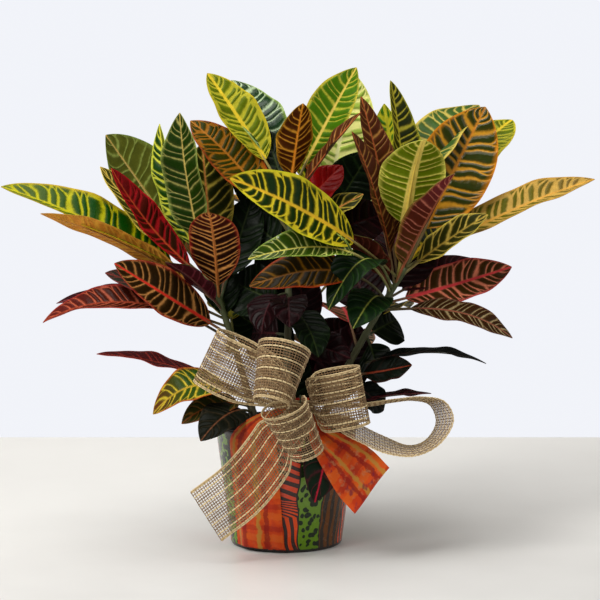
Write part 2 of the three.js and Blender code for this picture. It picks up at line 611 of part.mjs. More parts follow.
function leafyStem(name) {
  const stem = STEMS[name];
  const pieces = [stemSolid(stem)];
  for (const leaf of allLeaves(name)) {
    pieces.push(leafSolid(stem, leaf));
  }
  return fused(pieces);
}

// A strip of ribbon from a function that gives a point and the way across for a share of
// its length, where across runs from -1 to 1
function strip(pointAt, segments, acrossSegments = 1) {
  const geometry = matchUnderside(new THREE.BoxGeometry(2, 1, 2, acrossSegments, segments, 1));
  const position = geometry.attributes.position;
  const step = 1e-3;
  for (let i = 0; i < position.count; i += 1) {
    const across = position.getX(i);
    const share = position.getY(i) + 0.5;
    const point = pointAt(share, across);
    const ahead = pointAt(Math.min(1, share + step), across);
    const along = ahead.sub(pointAt(Math.max(0, share - step), across));
    const sideways = pointAt(share, across + step).sub(pointAt(share, across - step));
    const normal = sideways.cross(along).normalize();
    point.addScaledVector(normal, position.getZ(i) * RIBBON_THICKNESS / 2);
    position.setXYZ(i, point.x, point.y, point.z);
  }
  return solid(geometry);
}

function loopPoint(loop, share, across) {
  const axis = vec(loop.axis).normalize();
  const centre = vec(loop.centre);
  const start = vec(KNOT).add(vec(loop.knot));
  const inward = start.clone().sub(centre).projectOnPlane(axis).normalize();
  const outward = axis.clone().cross(inward);
  const angle = 2 * Math.PI * share;
  const swell = 1 + loop.flare * across;
  const ring = centre.addScaledVector(inward, loop.reach * Math.cos(angle) * swell)
    .addScaledVector(outward, loop.bulge * Math.sin(angle) * swell);
  const gathered = Math.pow(Math.max(0, Math.cos(angle)), GATHER_POWER);
  const width = RIBBON_WIDTH / 2 * (1 - (1 - PINCH_SHARE) * gathered);
  return ring.lerp(start, gathered).addScaledVector(axis, across * width);
}

// A strip along a list of points. It widens from the knot over a share of its length.
function alongPoint(points, axes, share, across, opening = PINCH_RUN, bothEnds = false) {
  const curve = new THREE.CatmullRomCurve3(points.map(vec), false, "centripetal");
  const at = THREE.MathUtils.clamp(share, 0, 1);
  const turning = new THREE.CatmullRomCurve3(axes.map(vec), false, "centripetal");
  const axis = turning.getPoint(at).normalize();
  const fromKnot = bothEnds ? Math.min(at, 1 - at) : at;
  const opened = THREE.MathUtils.smoothstep(fromKnot, 0, opening);
  const width = RIBBON_WIDTH / 2 * (PINCH_SHARE + (1 - PINCH_SHARE) * opened);
  return curve.getPointAt(at).addScaledVector(axis, across * width);
}

function openLoopPoint(share, across) {
  return alongPoint(OPEN_LOOP, OPEN_LOOP_AXES, share, across, PINCH_RUN / 2, true);
}

function wovenTailPoint(share, across) {
  return alongPoint(WOVEN_TAIL, WOVEN_TAIL_AXES, share, across);
}

function plaidTailPoint(share, across) {
  return alongPoint(PLAID_TAIL, PLAID_TAIL_AXES, share, across, PLAID_OPENING);
}

function core(offset, halfLength) {
  const end = KNOT[0] + halfLength;
  const start = KNOT[0] - halfLength;
  const y = KNOT[1] + offset;
  return rod([[start, y, KNOT[2]], [end, y, KNOT[2]]], CORE_RADIUS, CORE_RADIUS, 1, CORE_SIDES);
}

function wovenRibbon() {
  const pieces = [core(0, CORE_HALF_LENGTH)];
  for (const loop of LOOPS) {
    pieces.push(strip((share, across) => loopPoint(loop, share, across), LOOP_SEGMENTS));
  }
  pieces.push(strip(openLoopPoint, OPEN_LOOP_SEGMENTS));
  pieces.push(strip(wovenTailPoint, TAIL_SEGMENTS));
  return fused(pieces);
}

// A point of the left plaid tail
function wrapPoint(share, across) {
  const height = WRAP_TOP + (WRAP_BOTTOM - WRAP_TOP) * share;
  const wall = coverRadius(Math.min(height, COVER_HEIGHT)) + COVER_BEAD + PLAID_CLEARANCE;
  const bearing = WRAP_BEARING - across * RIBBON_WIDTH / 2 / wall;
  const onWall = new THREE.Vector3(wall * Math.sin(bearing), -wall * Math.cos(bearing), height);
  const gathered = Math.pow(1 - THREE.MathUtils.smoothstep(share, 0, PINCH_RUN), 2);
  const pinched = vec(WRAP_START);
  pinched.x -= across * RIBBON_WIDTH / 2 * PINCH_SHARE;
  return onWall.lerp(pinched, gathered);
}

function plaidRibbon() {
  return fused([
    core(CORE_SPACING, PLAID_CORE_HALF_LENGTH),
    strip(wrapPoint, TAIL_SEGMENTS * 2, WRAP_SEGMENTS),
    strip(plaidTailPoint, TAIL_SEGMENTS),
  ]);
}

function bowWire() {
  const [x, front, height] = KNOT;
  const back = front + CORE_SPACING;
  const ring = CORE_RADIUS + WIRE_CLEARANCE + WIRE_RADIUS;
  const [legA, legB] = WIRE_LEG_X;
  return rod([
    [legA, WIRE_LEG_Y, WIRE_FOOT],
    [legA, WIRE_LEG_Y, (WIRE_FOOT + WIRE_STRAIGHT_TOP) / 2],
    [legA, WIRE_LEG_Y, WIRE_STRAIGHT_TOP],
    [x - WIRE_SPREAD, back + 2 * ring, height],
    [x, back + ring / 2, height + ring],
    [x, front, height + ring],
    [x, front - ring * Math.SQRT1_2, height + ring * Math.SQRT1_2],
    [x, front - ring, height],
    [x, front - ring * Math.SQRT1_2, height - ring * Math.SQRT1_2],
    [x, front, height - ring],
    [x, back, height - ring],
    [x + WIRE_SPREAD, back + ring * 1.5, height - ring],
    [legB, WIRE_LEG_Y, WIRE_STRAIGHT_TOP],
    [legB, WIRE_LEG_Y, (WIRE_FOOT + WIRE_STRAIGHT_TOP) / 2],
    [legB, WIRE_LEG_Y, WIRE_FOOT],
  ], WIRE_RADIUS, WIRE_RADIUS, WIRE_SEGMENTS, WIRE_SIDES);
}

const PIECES = [
  ["pot_cover", potCover, 0xb4562a, 0.35],
  ["nursery_pot", nurseryPot, 0x1d1f1e, 0.6],
  ["potting_soil", potSoil, 0x2c2019, 0.95],
  ["leafy_stem_left", () => leafyStem("left"), 0x4f7a24, 0.4],
  ["leafy_stem_centre", () => leafyStem("centre"), 0x8aa52a, 0.4],
  ["leafy_stem_right", () => leafyStem("right"), 0x7a5a20, 0.4],
  ["leafy_stem_back", () => leafyStem("back"), 0x2f5a22, 0.4],
  ["woven_ribbon", wovenRibbon, 0xb09a72, 0.8],
  ["plaid_ribbon", plaidRibbon, 0xc8501c, 0.7],
  ["bow_wire", bowWire, 0x5f6a45, 0.4],
];

const group = new THREE.Group();
for (const [name, build, color, roughness] of PIECES) {
  const material = new THREE.MeshStandardMaterial({ color, roughness, metalness: 0 });
  const mesh = new THREE.Mesh(geometryOf(build()), material);
  mesh.name = name;
  group.add(mesh);
}

export default group;
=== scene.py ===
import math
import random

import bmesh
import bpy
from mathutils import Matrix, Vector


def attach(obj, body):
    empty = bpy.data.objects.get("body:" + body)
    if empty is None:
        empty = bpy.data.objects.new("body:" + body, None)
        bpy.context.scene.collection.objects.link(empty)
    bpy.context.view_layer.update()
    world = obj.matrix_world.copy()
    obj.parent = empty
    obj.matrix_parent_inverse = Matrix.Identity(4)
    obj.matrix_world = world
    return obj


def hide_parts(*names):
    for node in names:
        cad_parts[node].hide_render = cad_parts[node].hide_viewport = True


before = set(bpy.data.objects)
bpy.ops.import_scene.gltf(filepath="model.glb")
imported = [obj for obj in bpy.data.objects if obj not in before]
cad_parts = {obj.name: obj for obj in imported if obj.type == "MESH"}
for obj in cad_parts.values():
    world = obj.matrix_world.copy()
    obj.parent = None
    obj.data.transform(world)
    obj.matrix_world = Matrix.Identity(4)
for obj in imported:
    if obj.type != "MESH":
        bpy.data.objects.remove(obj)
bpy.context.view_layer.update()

# %% [markdown]
# # A potted croton with a woven ribbon bow
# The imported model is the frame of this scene: plain solids that already have the right
# places and sizes. The steps below replace the leaves and the ribbons with finer pieces
# that follow the same lines, and give every piece that stays a painted surface.
# Lengths are written in millimetres, as a maker would, and turned into metres on the way in.

MM = 0.001

# %% [markdown]
# ## Camera
# The photograph was taken from about two and a half metres away with a long lens, a little
# above the leaves and looking slightly down. A long lens keeps the pot's sides nearly
# parallel, so it is worth setting before any shape is judged.

# %% Camera
LOOKS_DOWN = 6.6


def place_in_scene(name, data, location=(0, 0, 0)):
    thing = bpy.data.objects.new(name, data)
    thing.location = location
    bpy.context.scene.collection.objects.link(thing)
    return thing


camera_data = bpy.data.cameras.new("camera")
camera_data.lens = 135
camera_data.sensor_width = 36
camera = place_in_scene("camera", camera_data, (0.0157, -2.561, 0.5775))
camera.rotation_euler = (math.radians(90 - LOOKS_DOWN), 0, 0)
bpy.context.scene.camera = camera
print("camera:", camera_data.lens, "mm lens, looking", LOOKS_DOWN, "degrees down")

# %% [markdown]
# ## Light
# A pale room and a wide soft light overhead light the plant from everywhere. One soft light
# from the upper left gives the leaves their shine, and a weak one opens the right side.

# %% Light
LIT_POINT = Vector((0, 0, 0.3))


def soft_light(name, place, size, power, tint):
    data = bpy.data.lights.new(name, "AREA")
    data.shape = "DISK"
    data.size = size
    data.energy = power
    data.color = tint
    light = place_in_scene(name, data, place)
    light.rotation_euler = (LIT_POINT - Vector(place)).to_track_quat("-Z", "Y").to_euler()


soft_light("window", (-1.2, -1.2, 1.6), size=0.8, power=30, tint=(1, 0.98, 0.93))
soft_light("far window", (1.5, -0.7, 1.1), size=1.2, power=5, tint=(1, 0.98, 0.95))
soft_light("ceiling", (-0.3, -0.1, 2.1), size=2.0, power=36, tint=(1, 0.985, 0.95))
print("lights:", [light.name for light in bpy.data.lights])

# %% [markdown]
# ## Painting tools
# Every surface is painted with shader nodes. A Value stands for one output of a node, and a
# plain sum with it adds the Math node that does the sum, so a recipe reads like arithmetic.

# %% Painting tools
class Value:
    """One output of a shader node. Sums with it, such as value * 2 + 1, add Math nodes."""

    def __init__(self, tree, socket):
        self.tree = tree
        self.socket = socket

    def __add__(self, other):
        return sums("ADD", self, other)

    def __sub__(self, other):
        return sums("SUBTRACT", self, other)

    def __rsub__(self, other):
        return sums("SUBTRACT", other, self)

    def __mul__(self, other):
        return sums("MULTIPLY", self, other)

    def __pow__(self, other):
        return sums("POWER", self, other)

    def __mod__(self, other):
        return sums("FLOORED_MODULO", self, other)

    def __abs__(self):
        return sums("ABSOLUTE", self)


def tone(text):
    """A hex colour as the eye reads it, turned into the light values that shaders use"""
    parts = [int(text[i:i + 2], 16) / 255 for i in (0, 2, 4)]
    return Vector([p / 12.92 if p <= 0.04045 else ((p + 0.055) / 1.055) ** 2.4 for p in parts])


def plug(socket, source):
    if isinstance(source, Value):
        source.tree.links.new(source.socket, socket)
    elif isinstance(source, str):
        socket.default_value = (*tone(source), 1)
    elif source is not None:
        socket.default_value = source


def put(tree, kind, sockets=None, **settings):
    node = tree.nodes.new(kind)
    for name, value in settings.items():
        setattr(node, name, value)
    for name, source in (sockets or {}).items():
        plug(node.inputs[name], source)
    return node


def from_node(tree, kind, output, sockets=None, **settings):
    return Value(tree, put(tree, kind, sockets, **settings).outputs[output])


def tree_of(*sources):
    return next(source.tree for source in sources if isinstance(source, Value))


def sums(operation, *sources):
    numbered = dict(enumerate(sources))
    return from_node(tree_of(*sources), "ShaderNodeMath", 0, numbered, operation=operation)


# %% [markdown]
# These helpers are the brushes: a soft step between two values, a mix of two colours, grain
# from noise, and bumps that only change how the light falls. The last two start a new
# surface and give it its colour, roughness and bumps.

# %% Brushes
def soft_step(value, low, high):
    """0 below low and 1 above high, with a soft change between them"""
    sockets = {"Value": value, "From Min": low, "From Max": high}
    return from_node(value.tree, "ShaderNodeMapRange", "Result", sockets, interpolation_type="SMOOTHSTEP")


def paint(share, under, over, how="MIX"):
    sockets = {0: share, 6: under, 7: over}
    tree = tree_of(share, under, over)
    return from_node(tree, "ShaderNodeMix", 2, sockets, data_type="RGBA", blend_type=how)


def axes(place):
    outputs = put(place.tree, "ShaderNodeSeparateXYZ", {"Vector": place}).outputs
    return [Value(place.tree, output) for output in outputs]


def grain(place, scale, detail=2, roughness=0.5):
    sockets = {"Vector": place, "Scale": scale, "Detail": detail, "Roughness": roughness}
    return from_node(place.tree, "ShaderNodeTexNoise", "Fac", sockets)


def stretched(place, scale):
    sockets = {0: place, 1: scale}
    return from_node(place.tree, "ShaderNodeVectorMath", 0, sockets, operation="MULTIPLY")


def bumps(height, depth, strength=1.0):
    sockets = {"Height": height, "Distance": depth * MM, "Strength": strength}
    return from_node(height.tree, "ShaderNodeBump", "Normal", sockets)


def own_tone(tree, name):
    """The colour that each point of a piece carries under this name"""
    return from_node(tree, "ShaderNodeAttribute", "Color", attribute_name=name)


def new_surface(name, **fixed):
    """A material with one Principled shader, whose fixed values go on its own sockets"""
    material = bpy.data.materials.new(name)
    material.use_nodes = True
    tree = material.node_tree
    shader = tree.nodes["Principled BSDF"]
    for socket, value in fixed.items():
        shader.inputs[socket.replace("_", " ")].default_value = value
    return material, shader, from_node(tree, "ShaderNodeTexCoord", "Object")


def dress(shader, colour, rough, normal=None):
    for name, source in (("Base Color", colour), ("Roughness", rough), ("Normal", normal)):
        plug(shader.inputs[name], source)


# %% [markdown]
# ## Floor and room
# The floor is a plain pale sheet that ends where the photograph's floor meets its wall, and
# painted shade makes it a little darker towards the viewer. Beyond it there is only the pale
# room light, which looks brighter to the camera than it is to the plant and to its shine.

# %% Floor and room
FLOOR_HALF = 0.7
FLOOR_FORWARD = 0.016
floor_bm = bmesh.new()
bmesh.ops.create_grid(floor_bm, x_segments=1, y_segments=1, size=FLOOR_HALF)
bmesh.ops.translate(floor_bm, verts=floor_bm.verts, vec=(0, -FLOOR_FORWARD, 0))
floor_mesh = bpy.data.meshes.new("floor")
floor_bm.to_mesh(floor_mesh)
floor_bm.free()
floor = place_in_scene("floor", floor_mesh)
floor_paint, shader, place = new_surface("pale floor", Specular_IOR_Level=0.35)
depth = axes(place)[1]
# painted shade: the floor is darker grey towards the viewer and lighter far back
floor_with_painted_shade = paint(soft_step(depth, -0.35, 0.1), "c4c4c4", "e2e2e2")
floor_with_painted_shade = paint(soft_step(depth, 0.3, 0.7), floor_with_painted_shade, "ececec")
floor_with_painted_shade = paint(grain(place, 9) * 0.2, floor_with_painted_shade, "ffffff")
dress(shader, floor_with_painted_shade, grain(place, 30) * 0.1 + 0.3)
floor_mesh.materials.append(floor_paint)

bpy.context.scene.view_settings.view_transform = "Standard"
room = bpy.data.worlds.new("pale room")
room.use_nodes = True
bpy.context.scene.world = room
background = room.node_tree.nodes["Background"]
rays = put(room.node_tree, "ShaderNodeLightPath").outputs
seen = Value(room.node_tree, rays["Is Camera Ray"])
mirrored = Value(room.node_tree, rays["Is Glossy Ray"])
plug(background.inputs["Color"], paint(seen, "fffaf2", "f7f9ff"))
plug(background.inputs["Strength"], seen * 0.53 + 0.42 - mirrored * 0.25)

# %% [markdown]
# ## Sheets and rods
# Nearly everything here is a thin sheet or a thin rod. Both start as Blender's own grid,
# whose points are then moved: a grid bent into a leaf, or rolled up into a stalk. A sheet
# gets two faces a fixed distance apart, and a rim that bridges them, so it is a closed
# body with a real thickness.

# %% Sheets and rods
def grid(bm, rows, columns, where):
    """A sheet of rows by columns faces. where(row, column) gives each point in millimetres."""
    made = bmesh.ops.create_grid(bm, x_segments=columns, y_segments=rows, size=0.5)["verts"]
    spots = {}
    for vert in made:
        spot = (round((vert.co.y + 0.5) * rows), round((vert.co.x + 0.5) * columns))
        vert.co = where(*spot) * MM
        spots[vert] = spot
    return spots


def sheet(bm, rows, columns, where, under_slot=0):
    """A closed sheet. where(row, column, side) takes side 1 for its face and -1 for its back."""
    face = grid(bm, rows, columns, lambda row, column: where(row, column, 1))
    back = grid(bm, rows, columns, lambda row, column: where(row, column, -1))
    back_faces = list({f for vert in back for f in vert.link_faces})
    bmesh.ops.reverse_faces(bm, faces=back_faces)
    for f in back_faces:
        f.material_index = under_slot
    rim = [e for e in {e for vert in (*face, *back) for e in vert.link_edges} if e.is_boundary]
    bmesh.ops.bridge_loops(bm, edges=rim)
    for edge in rim:
        edge.smooth = False
    return face, back


def distances(points):
    """How far along a line of points each of them lies"""
    far = [0]
    for a, b in zip(points, points[1:]):
        far.append(far[-1] + (b - a).length)
    return far


def frames_along(centres, start_up):
    """For each point of a line, two directions square to it that turn as little as they can"""
    ups = []
    up = start_up.copy()
    for i, centre in enumerate(centres):
        ahead = centres[min(i + 1, len(centres) - 1)] - centres[max(i - 1, 0)]
        ahead.normalize()
        up = (up - ahead * up.dot(ahead)).normalized()
        ups.append((up, ahead.cross(up)))
    return ups


def rod(bm, centres, radii, sides, start_up=Vector((0.13, 0.99, 0.05))):
    """A round rod through a list of points. Its two ends are closed."""
    turned = frames_along(centres, start_up)

    def where(row, column):
        angle = 2 * math.pi * column / sides
        up, wide = turned[row]
        return centres[row] + (up * math.cos(angle) - wide * math.sin(angle)) * radii[row]

    spots = grid(bm, len(centres) - 1, sides, where)
    close_rod(bm, spots)
    return {vert: spot for vert, spot in spots.items() if vert.is_valid}


def close_rod(bm, spots):
    """Joins the two long edges of a rolled-up grid and puts a face on each end"""
    bmesh.ops.remove_doubles(bm, verts=list(spots), dist=1e-6)
    left = [vert for vert in spots if vert.is_valid]
    ends = [e for e in {e for vert in left for e in vert.link_edges} if e.is_boundary]
    bmesh.ops.holes_fill(bm, edges=ends, sides=0)


def finish_piece(name, bm, node, surfaces):
    """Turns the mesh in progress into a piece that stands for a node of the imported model"""
    mesh = bpy.data.meshes.new(name)
    for face in bm.faces:
        face.smooth = True
    bm.to_mesh(mesh)
    bm.free()
    piece = place_in_scene(name, mesh)
    for surface in surfaces:
        mesh.materials.append(surface)
    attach(piece, "root")
    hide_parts(node)
    print(name, len(mesh.polygons), "faces")
    return piece


# %% [markdown]
# ## Where the leaves grow
# A croton carries its leaves in spirals up woody stems. Each leaf is one row of this table,
# in the order that the first line of the table names. The stem's foot is 0 and its top 1.
# Bow lifts the middle of a leaf, fold raises its two halves to a gutter, the stalk is bare,
# droop lifts the outer third so that the tip hangs, and wave ripples the edge. A last step
# turns each row into a leaf with named parts.

# %% Where the leaves grow
SOIL_LINE = 132
STEMS = {
    "left": ((-34, -10), (-52, -14, 215), (-84, -16, 305)),
    "right": ((36, -6), (70, -12, 215), (136, -20, 320)),
    "centre": ((0, -30), (2, -34, 250), (4, -8, 400)),
    "back": ((8, 38), (20, 70, 230), (45, 95, 370)),
}


def leaf(look, at, tip, face, width, bow=0, fold=14, stalk=28, droop=0, wave=2):
    return dict(look=look, at=at, tip=Vector(tip), face=Vector(face), width=width, bow=bow,
                fold=math.radians(fold), stalk=stalk, droop=droop, wave=wave)


# look, place up the stem, tip, where the upper side looks, width, bow, fold, stalk, droop, wave
LEAF_TABLE = {
    "left": [
        ("lime_blocks", 0.93, (-325, 0, 411), (0.3, -0.4, 0.85), 74, 11, 24, 60),
        ("orange_under", 0.84, (-273, -62, 385), (0.2, 0.75, 0.6), 32, 17, 16, 50),
        ("crimson", 0.96, (-195, -50, 435), (0.75, -0.65, 0.35), 42, -14, 24, 36),
        ("dark_gold", 0.98, (-213, 14, 433), (0.8, -0.55, 0.4), 54, -8, 16, 40),
        ("olive_under", 0.94, (-211, 70, 467), (0.45, 0.9, 0.3), 92, 0, 10, 66),
        ("lime_bars", 1, (-146, 40, 481), (-0.8, -0.6, 0.1), 42, 14, 24, 46),
        ("green_fine", 1, (-119, -32, 496), (-0.5, -0.85, 0.1), 56, 12, 22, 50, 0, 4),
        ("dark_orange", 1, (-97, 24, 459), (0.3, -0.95, 0.1), 62, 4, 10, 36),
        ("red_rib", 0.64, (-191, -68, 330), (0.2, -0.75, 0.6), 60, 0, 14, 30),
        ("grey_red", 0.75, (-205, -26, 315), (0.3, -0.6, 0.7), 42, 4, 16, 40),
        ("red_blocks", 0.7, (-280, 8, 254), (-0.1, -0.53, 0.85), 44, 25, 26, 44, 20),
        ("maroon", 0.6, (-268, 44, 272), (0, -0.4, 0.9), 40, 27, 14, 60, 8),
        ("maroon_under", 0.8, (-134, -70, 332), (0.5, 0.6, 0.7), 40, 6, 12, 20),
        ("orange_vein_under", 0.88, (-84, -112, 390), (0.05, 0.75, 0.65), 58, 8, 8, 20, 12),
        ("deep_green_in_shade", 0.86, (-38, 16, 400), (-0.2, -0.95, 0.2), 54, 2, 10, 32),
        ("maroon_red", 0.26, (-217, -10, 220), (0.1, -0.15, 0.95), 38, 6, 12, 46, 6),
        ("green_red_edge", 0.22, (-151, -38, 155), (-0.4, -0.6, 0.7), 54, 26, 14, 34, 18),
        ("olive_dark", 0.16, (-118, -50, 146), (-0.2, -0.7, 0.7), 38, 16, 14, 20, 6),
        ("deep_green_in_shade", 0.72, (-82, 30, 330), (0, -0.9, 0.3), 44, 6, 8, 12),
        ("black_green", 0.12, (-95, -88, 133), (-0.25, -0.8, 0.55), 48, 17, 8, 26, 4),
    ],
    "centre": [
        ("lime_yellow", 0.98, (-91, 40, 539), (0.6, -0.8, 0.2), 58, 4, 20, 56),
        ("green_glare", 0.9, (-64, 96, 530), (0.5, -0.75, 0.4), 70, 21, 12, 76),
        ("orange_rim", 0.86, (-110, 26, 485), (0.3, -0.8, 0.5), 58, 14, 14, 40),
        ("orange_brown_under", 1, (19, -50, 507), (-0.5, 0.8, 0.1), 48, 2, 14, 26),
        ("green_yellow", 1, (80, 10, 546), (-0.45, -0.88, 0.1), 60, 4, 22, 40),
        ("purple", 0.96, (84, -44, 497), (-0.6, -0.3, 0.6), 28, 4, 20, 30),
        ("red_young", 0.9, (64, 20, 434), (-0.2, -0.8, 0.5), 42, 4, 12, 22),
        ("dark_orange", 0.84, (88, 8, 402), (-0.3, -0.7, 0.6), 32, 2, 16, 28),
        ("deep_maroon_in_shade", 0.62, (-27, -74, 252), (-0.4, -0.6, 0.5), 46, 16, 14, 18),
        ("deep_maroon_in_shade", 0.6, (4, -96, 262), (0, -0.7, 0.6), 44, 14, 14, 18),
        ("deep_green_in_shade", 0.56, (36, -92, 228), (0.3, -0.7, 0.5), 46, 14, 14, 18),
        ("deep_maroon_in_shade", 0.4, (72, -74, 224), (0.3, -0.8, 0.5), 46, 10, 14, 20),
        ("deep_green_in_shade", 0.56, (-64, 24, 300), (-0.2, -0.9, 0.3), 64, 8, 8, 16),
        ("deep_maroon_in_shade", 0.45, (-40, 30, 238), (-0.1, -0.9, 0.3), 66, 6, 8, 14),
        ("deep_green_in_shade", 0.78, (-40, 24, 372), (-0.2, -0.9, 0.2), 52, 6, 8, 18),
        ("deep_green_in_shade", 0.97, (-24, 28, 474), (0, -0.9, 0.2), 44, 4, 8, 14),
        ("deep_maroon_in_shade", 0.8, (120, 34, 380), (0.1, -0.9, 0.3), 54, 8, 8, 30),
    ],
    "right": [
        ("purple", 0.93, (84, -24, 514), (0.55, -0.85, 0), 42, 8, 22, 46),
        ("purple", 0.9, (73, -62, 476), (0.8, -0.5, 0.2), 42, 8, 22, 40),
        ("yellow_bars", 0.97, (113, 46, 504), (-0.6, -0.75, 0), 62, -6, 24, 50),
        ("dark_bars", 0.98, (119, 24, 531), (0.75, -0.65, 0), 56, 8, 24, 50),
        ("broad_green_under", 0.92, (152, -84, 468), (-0.1, 0.85, 0.5), 76, 4, 8, 70, 30),
        ("orange_veins", 1, (228, 24, 501), (0, -0.95, 0.3), 88, 6, 10, 50),
        ("grey_green", 0.98, (225, 100, 501), (-0.5, -0.75, 0.4), 72, 52, 10, 96),
        ("lime_yellow", 0.98, (267, 112, 483), (-0.4, -0.8, 0.4), 68, 28, 12, 104),
        ("maroon_front_under", 0.9, (185, -98, 432), (-0.75, 0.6, 0.2), 62, 4, 24, 30),
        ("gold_blocks", 1, (352, 6, 419), (-0.3, -0.5, 0.8), 54, 10, 24, 50),
        ("dark_gold", 0.95, (227, -38, 382), (-0.3, -0.6, 0.7), 42, 4, 16, 26),
        ("maroon", 0.82, (218, 58, 323), (-0.1, -0.7, 0.6), 36, 6, 12, 24),
        ("red_veins", 0.8, (259, 12, 318), (-0.1, -0.75, 0.6), 56, -3, 12, 26),
        ("orange_stripes", 0.76, (256, -36, 242), (0.2, -0.55, 0.75), 38, 15, 8, 36, 16),
        ("black", 0.4, (230, 4, 207), (0, -0.15, 1), 28, 15, 12, 34, 6),
        ("black_red_rib", 0.36, (143, -28, 210), (-0.1, -0.75, 0.6), 34, -3, 12, 24),
        ("deep_green_in_shade", 0.62, (98, 22, 190), (0.3, -0.8, 0.3), 48, 10, 8, 12),
        ("deep_maroon_in_shade", 0.7, (70, 38, 330), (-0.1, -0.9, 0.3), 66, 6, 8, 14),
        ("deep_maroon_in_shade", 0.85, (162, 24, 350), (0, -0.9, 0.3), 54, 6, 8, 12),
        ("deep_green_in_shade", 0.6, (128, 34, 254), (0.1, -0.9, 0.3), 56, 6, 8, 14),
        ("deep_maroon_in_shade", 0.14, (84, 26, 250), (0, -0.9, 0.3), 64, 6, 8, 10),
        ("black", 0.34, (112, 0, 153), (0.4, -0.8, 0.4), 36, 9, 12, 20),
        ("maroon", 0.16, (166, -14, 175), (0, -0.1, 1), 26, 4, 10, 24),
        ("gold", 0.94, (-60, -134, 429), (0.25, -0.75, 0.6), 72, 16, 12, 84, 2),
        ("glossy_green", 0.86, (-41, -112, 339), (-0.1, -0.7, 0.7), 46, 46, 26, 90),
        ("dark_red_edge", 0.82, (-40, -92, 307), (-0.1, -0.75, 0.65), 52, 42, 12, 70),
        ("brown_under", 0.88, (72, -60, 362), (0.3, 0.6, 0.7), 40, 4, 12, 16),
        ("deep_rib_in_shade", 0.88, (47, -104, 282), (-0.4, -0.7, 0.6), 52, 48, 12, 36),
        ("deep_rib_in_shade", 0.8, (74, -108, 262), (-0.1, -0.8, 0.5), 48, 22, 12, 26),
        ("pink_rib", 0.12, (32, -99, 66), (0.2, -0.75, 0.6), 52, 34, 10, 60, 24),
    ],
    "back": [
        ("pale_lime", 0.98, (77, 66, 540), (0.15, -1, 0.1), 74, 2, 8, 50),
        ("deep_green_in_shade", 0.04, (-6, 34, 238), (-0.1, -0.9, 0.3), 58, 6, 8, 10),
        ("deep_maroon_in_shade", 0.07, (40, 34, 214), (0.1, -0.9, 0.3), 60, 6, 8, 10),
        ("deep_green_in_shade", 0.35, (-66, 56, 264), (-0.1, -0.9, 0.3), 60, 6, 8, 14),
        ("deep_maroon_in_shade", 0.42, (14, 52, 320), (0.1, -0.9, 0.3), 48, 6, 8, 14),
        ("deep_green_in_shade", 0.5, (-30, 50, 344), (-0.1, -0.9, 0.3), 58, 6, 8, 14),
        ("deep_maroon_in_shade", 0.28, (76, 56, 250), (0.1, -0.9, 0.3), 56, 6, 8, 12),
        ("deep_green_in_shade", 0.95, (98, 64, 448), (0.1, -0.9, 0.3), 62, 6, 8, 20),
        ("deep_green_in_shade", 0.9, (-66, 60, 430), (-0.1, -0.9, 0.3), 60, 6, 8, 24),
    ],
}
LEAVES = {name: [leaf(*row) for row in rows] for name, rows in LEAF_TABLE.items()}

# %% [markdown]
# The sides that the photograph doesn't show carry plainer leaves, set by a rule: each
# whorl spreads its leaves evenly over a range of bearings, and a seeded draw moves each a
# little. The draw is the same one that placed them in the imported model.

# %% Leaves on the far sides
# place up the stem, leaves, first and last bearing, reach, rise, width
WHORLS = {
    "left": [(0.86, 2, 78, 118, 124, 84, 50), (0.56, 1, 100, 100, 116, 36, 50)],
    "centre": [],
    "right": [(0.86, 2, 40, 84, 126, 84, 52), (0.56, 2, 50, 100, 116, 30, 50)],
    "back": [(1, 3, 40, 150, 84, 112, 50), (0.84, 4, 16, 166, 140, 84, 56),
             (0.6, 3, 50, 130, 156, 44, 54), (0.36, 3, 56, 124, 146, 0, 50)],
}
FIRST_SEED = 41
TURN, VARY = 8, 0.1
FAR_LOOKS = ["lime_blocks", "dark_gold", "orange_veins", "glossy_green", "red_veins", "gold",
             "green_fine", "orange_rim", "maroon", "lime_bars"]


def on_stem(name, along):
    (x, y), bend, top = STEMS[name]
    start, bend, top = Vector((x, y, SOIL_LINE)), Vector(bend), Vector(top)
    return start * (1 - along) ** 2 + bend * 2 * along * (1 - along) + top * along ** 2


def even_draws(seed):
    """Draws from -1 to 1 that are the same each time for the same seed"""
    state = seed
    while True:
        state = (state * 1664525 + 1013904223) % 2 ** 32
        yield 2 * state / 2 ** 32 - 1


def whorl_leaves(name):
    draw = even_draws(FIRST_SEED + len(name))
    leaves = []
    for at, count, first, last, reach, rise, width in WHORLS[name]:
        for i in range(count):
            step = (last - first) / (count - 1) if count > 1 else 0
            bearing = math.radians(first + i * step + next(draw) * TURN)
            out = reach * (1 + next(draw) * VARY)
            up = rise * (1 + next(draw) * VARY)
            grows_at = at - i * 0.03
            way = Vector((math.cos(bearing), math.sin(bearing), 0))
            tip = on_stem(name, grows_at) + way * out + Vector((0, 0, up))
            face = -way * up + Vector((0, 0, out))
            look = FAR_LOOKS[(len(leaves) * 3 + len(name)) % len(FAR_LOOKS)]
            wide = width * (1 + next(draw) * VARY)
            leaves.append(leaf(look, grows_at, tip, face, wide, bow=14, droop=12, stalk=46))
    return leaves


for name in STEMS:
    LEAVES[name] = LEAVES[name] + whorl_leaves(name)
print("leaves:", {name: len(rows) for name, rows in LEAVES.items()})

# %% [markdown]
# ## The looks of the leaves
# No two croton leaves match: young ones are lime and yellow, and they turn orange, red and
# nearly black as they age. A look is a small palette: the blade between the veins, the
# veins, the midrib and the edge. It also says how wide the veins are, how far out the dark
# blocks reach, and how the blade's colour shifts from its base to its tip.

# %% The looks of the leaves
def look(blade, veins, rib=None, edge=None, base=None, tip=None, vein=0.1, middle=2.2,
         reach=0.8, pitch=10.5, shiny=False, shows_back=False):
    return dict(blade=tone(blade), veins=tone(veins), rib=tone(rib or veins),
                edge=edge and tone(edge), base=tone(base or blade), tip=tone(tip or blade),
                vein=vein, middle=middle, reach=reach, pitch=pitch, shiny=shiny,
                shows_back=shows_back)


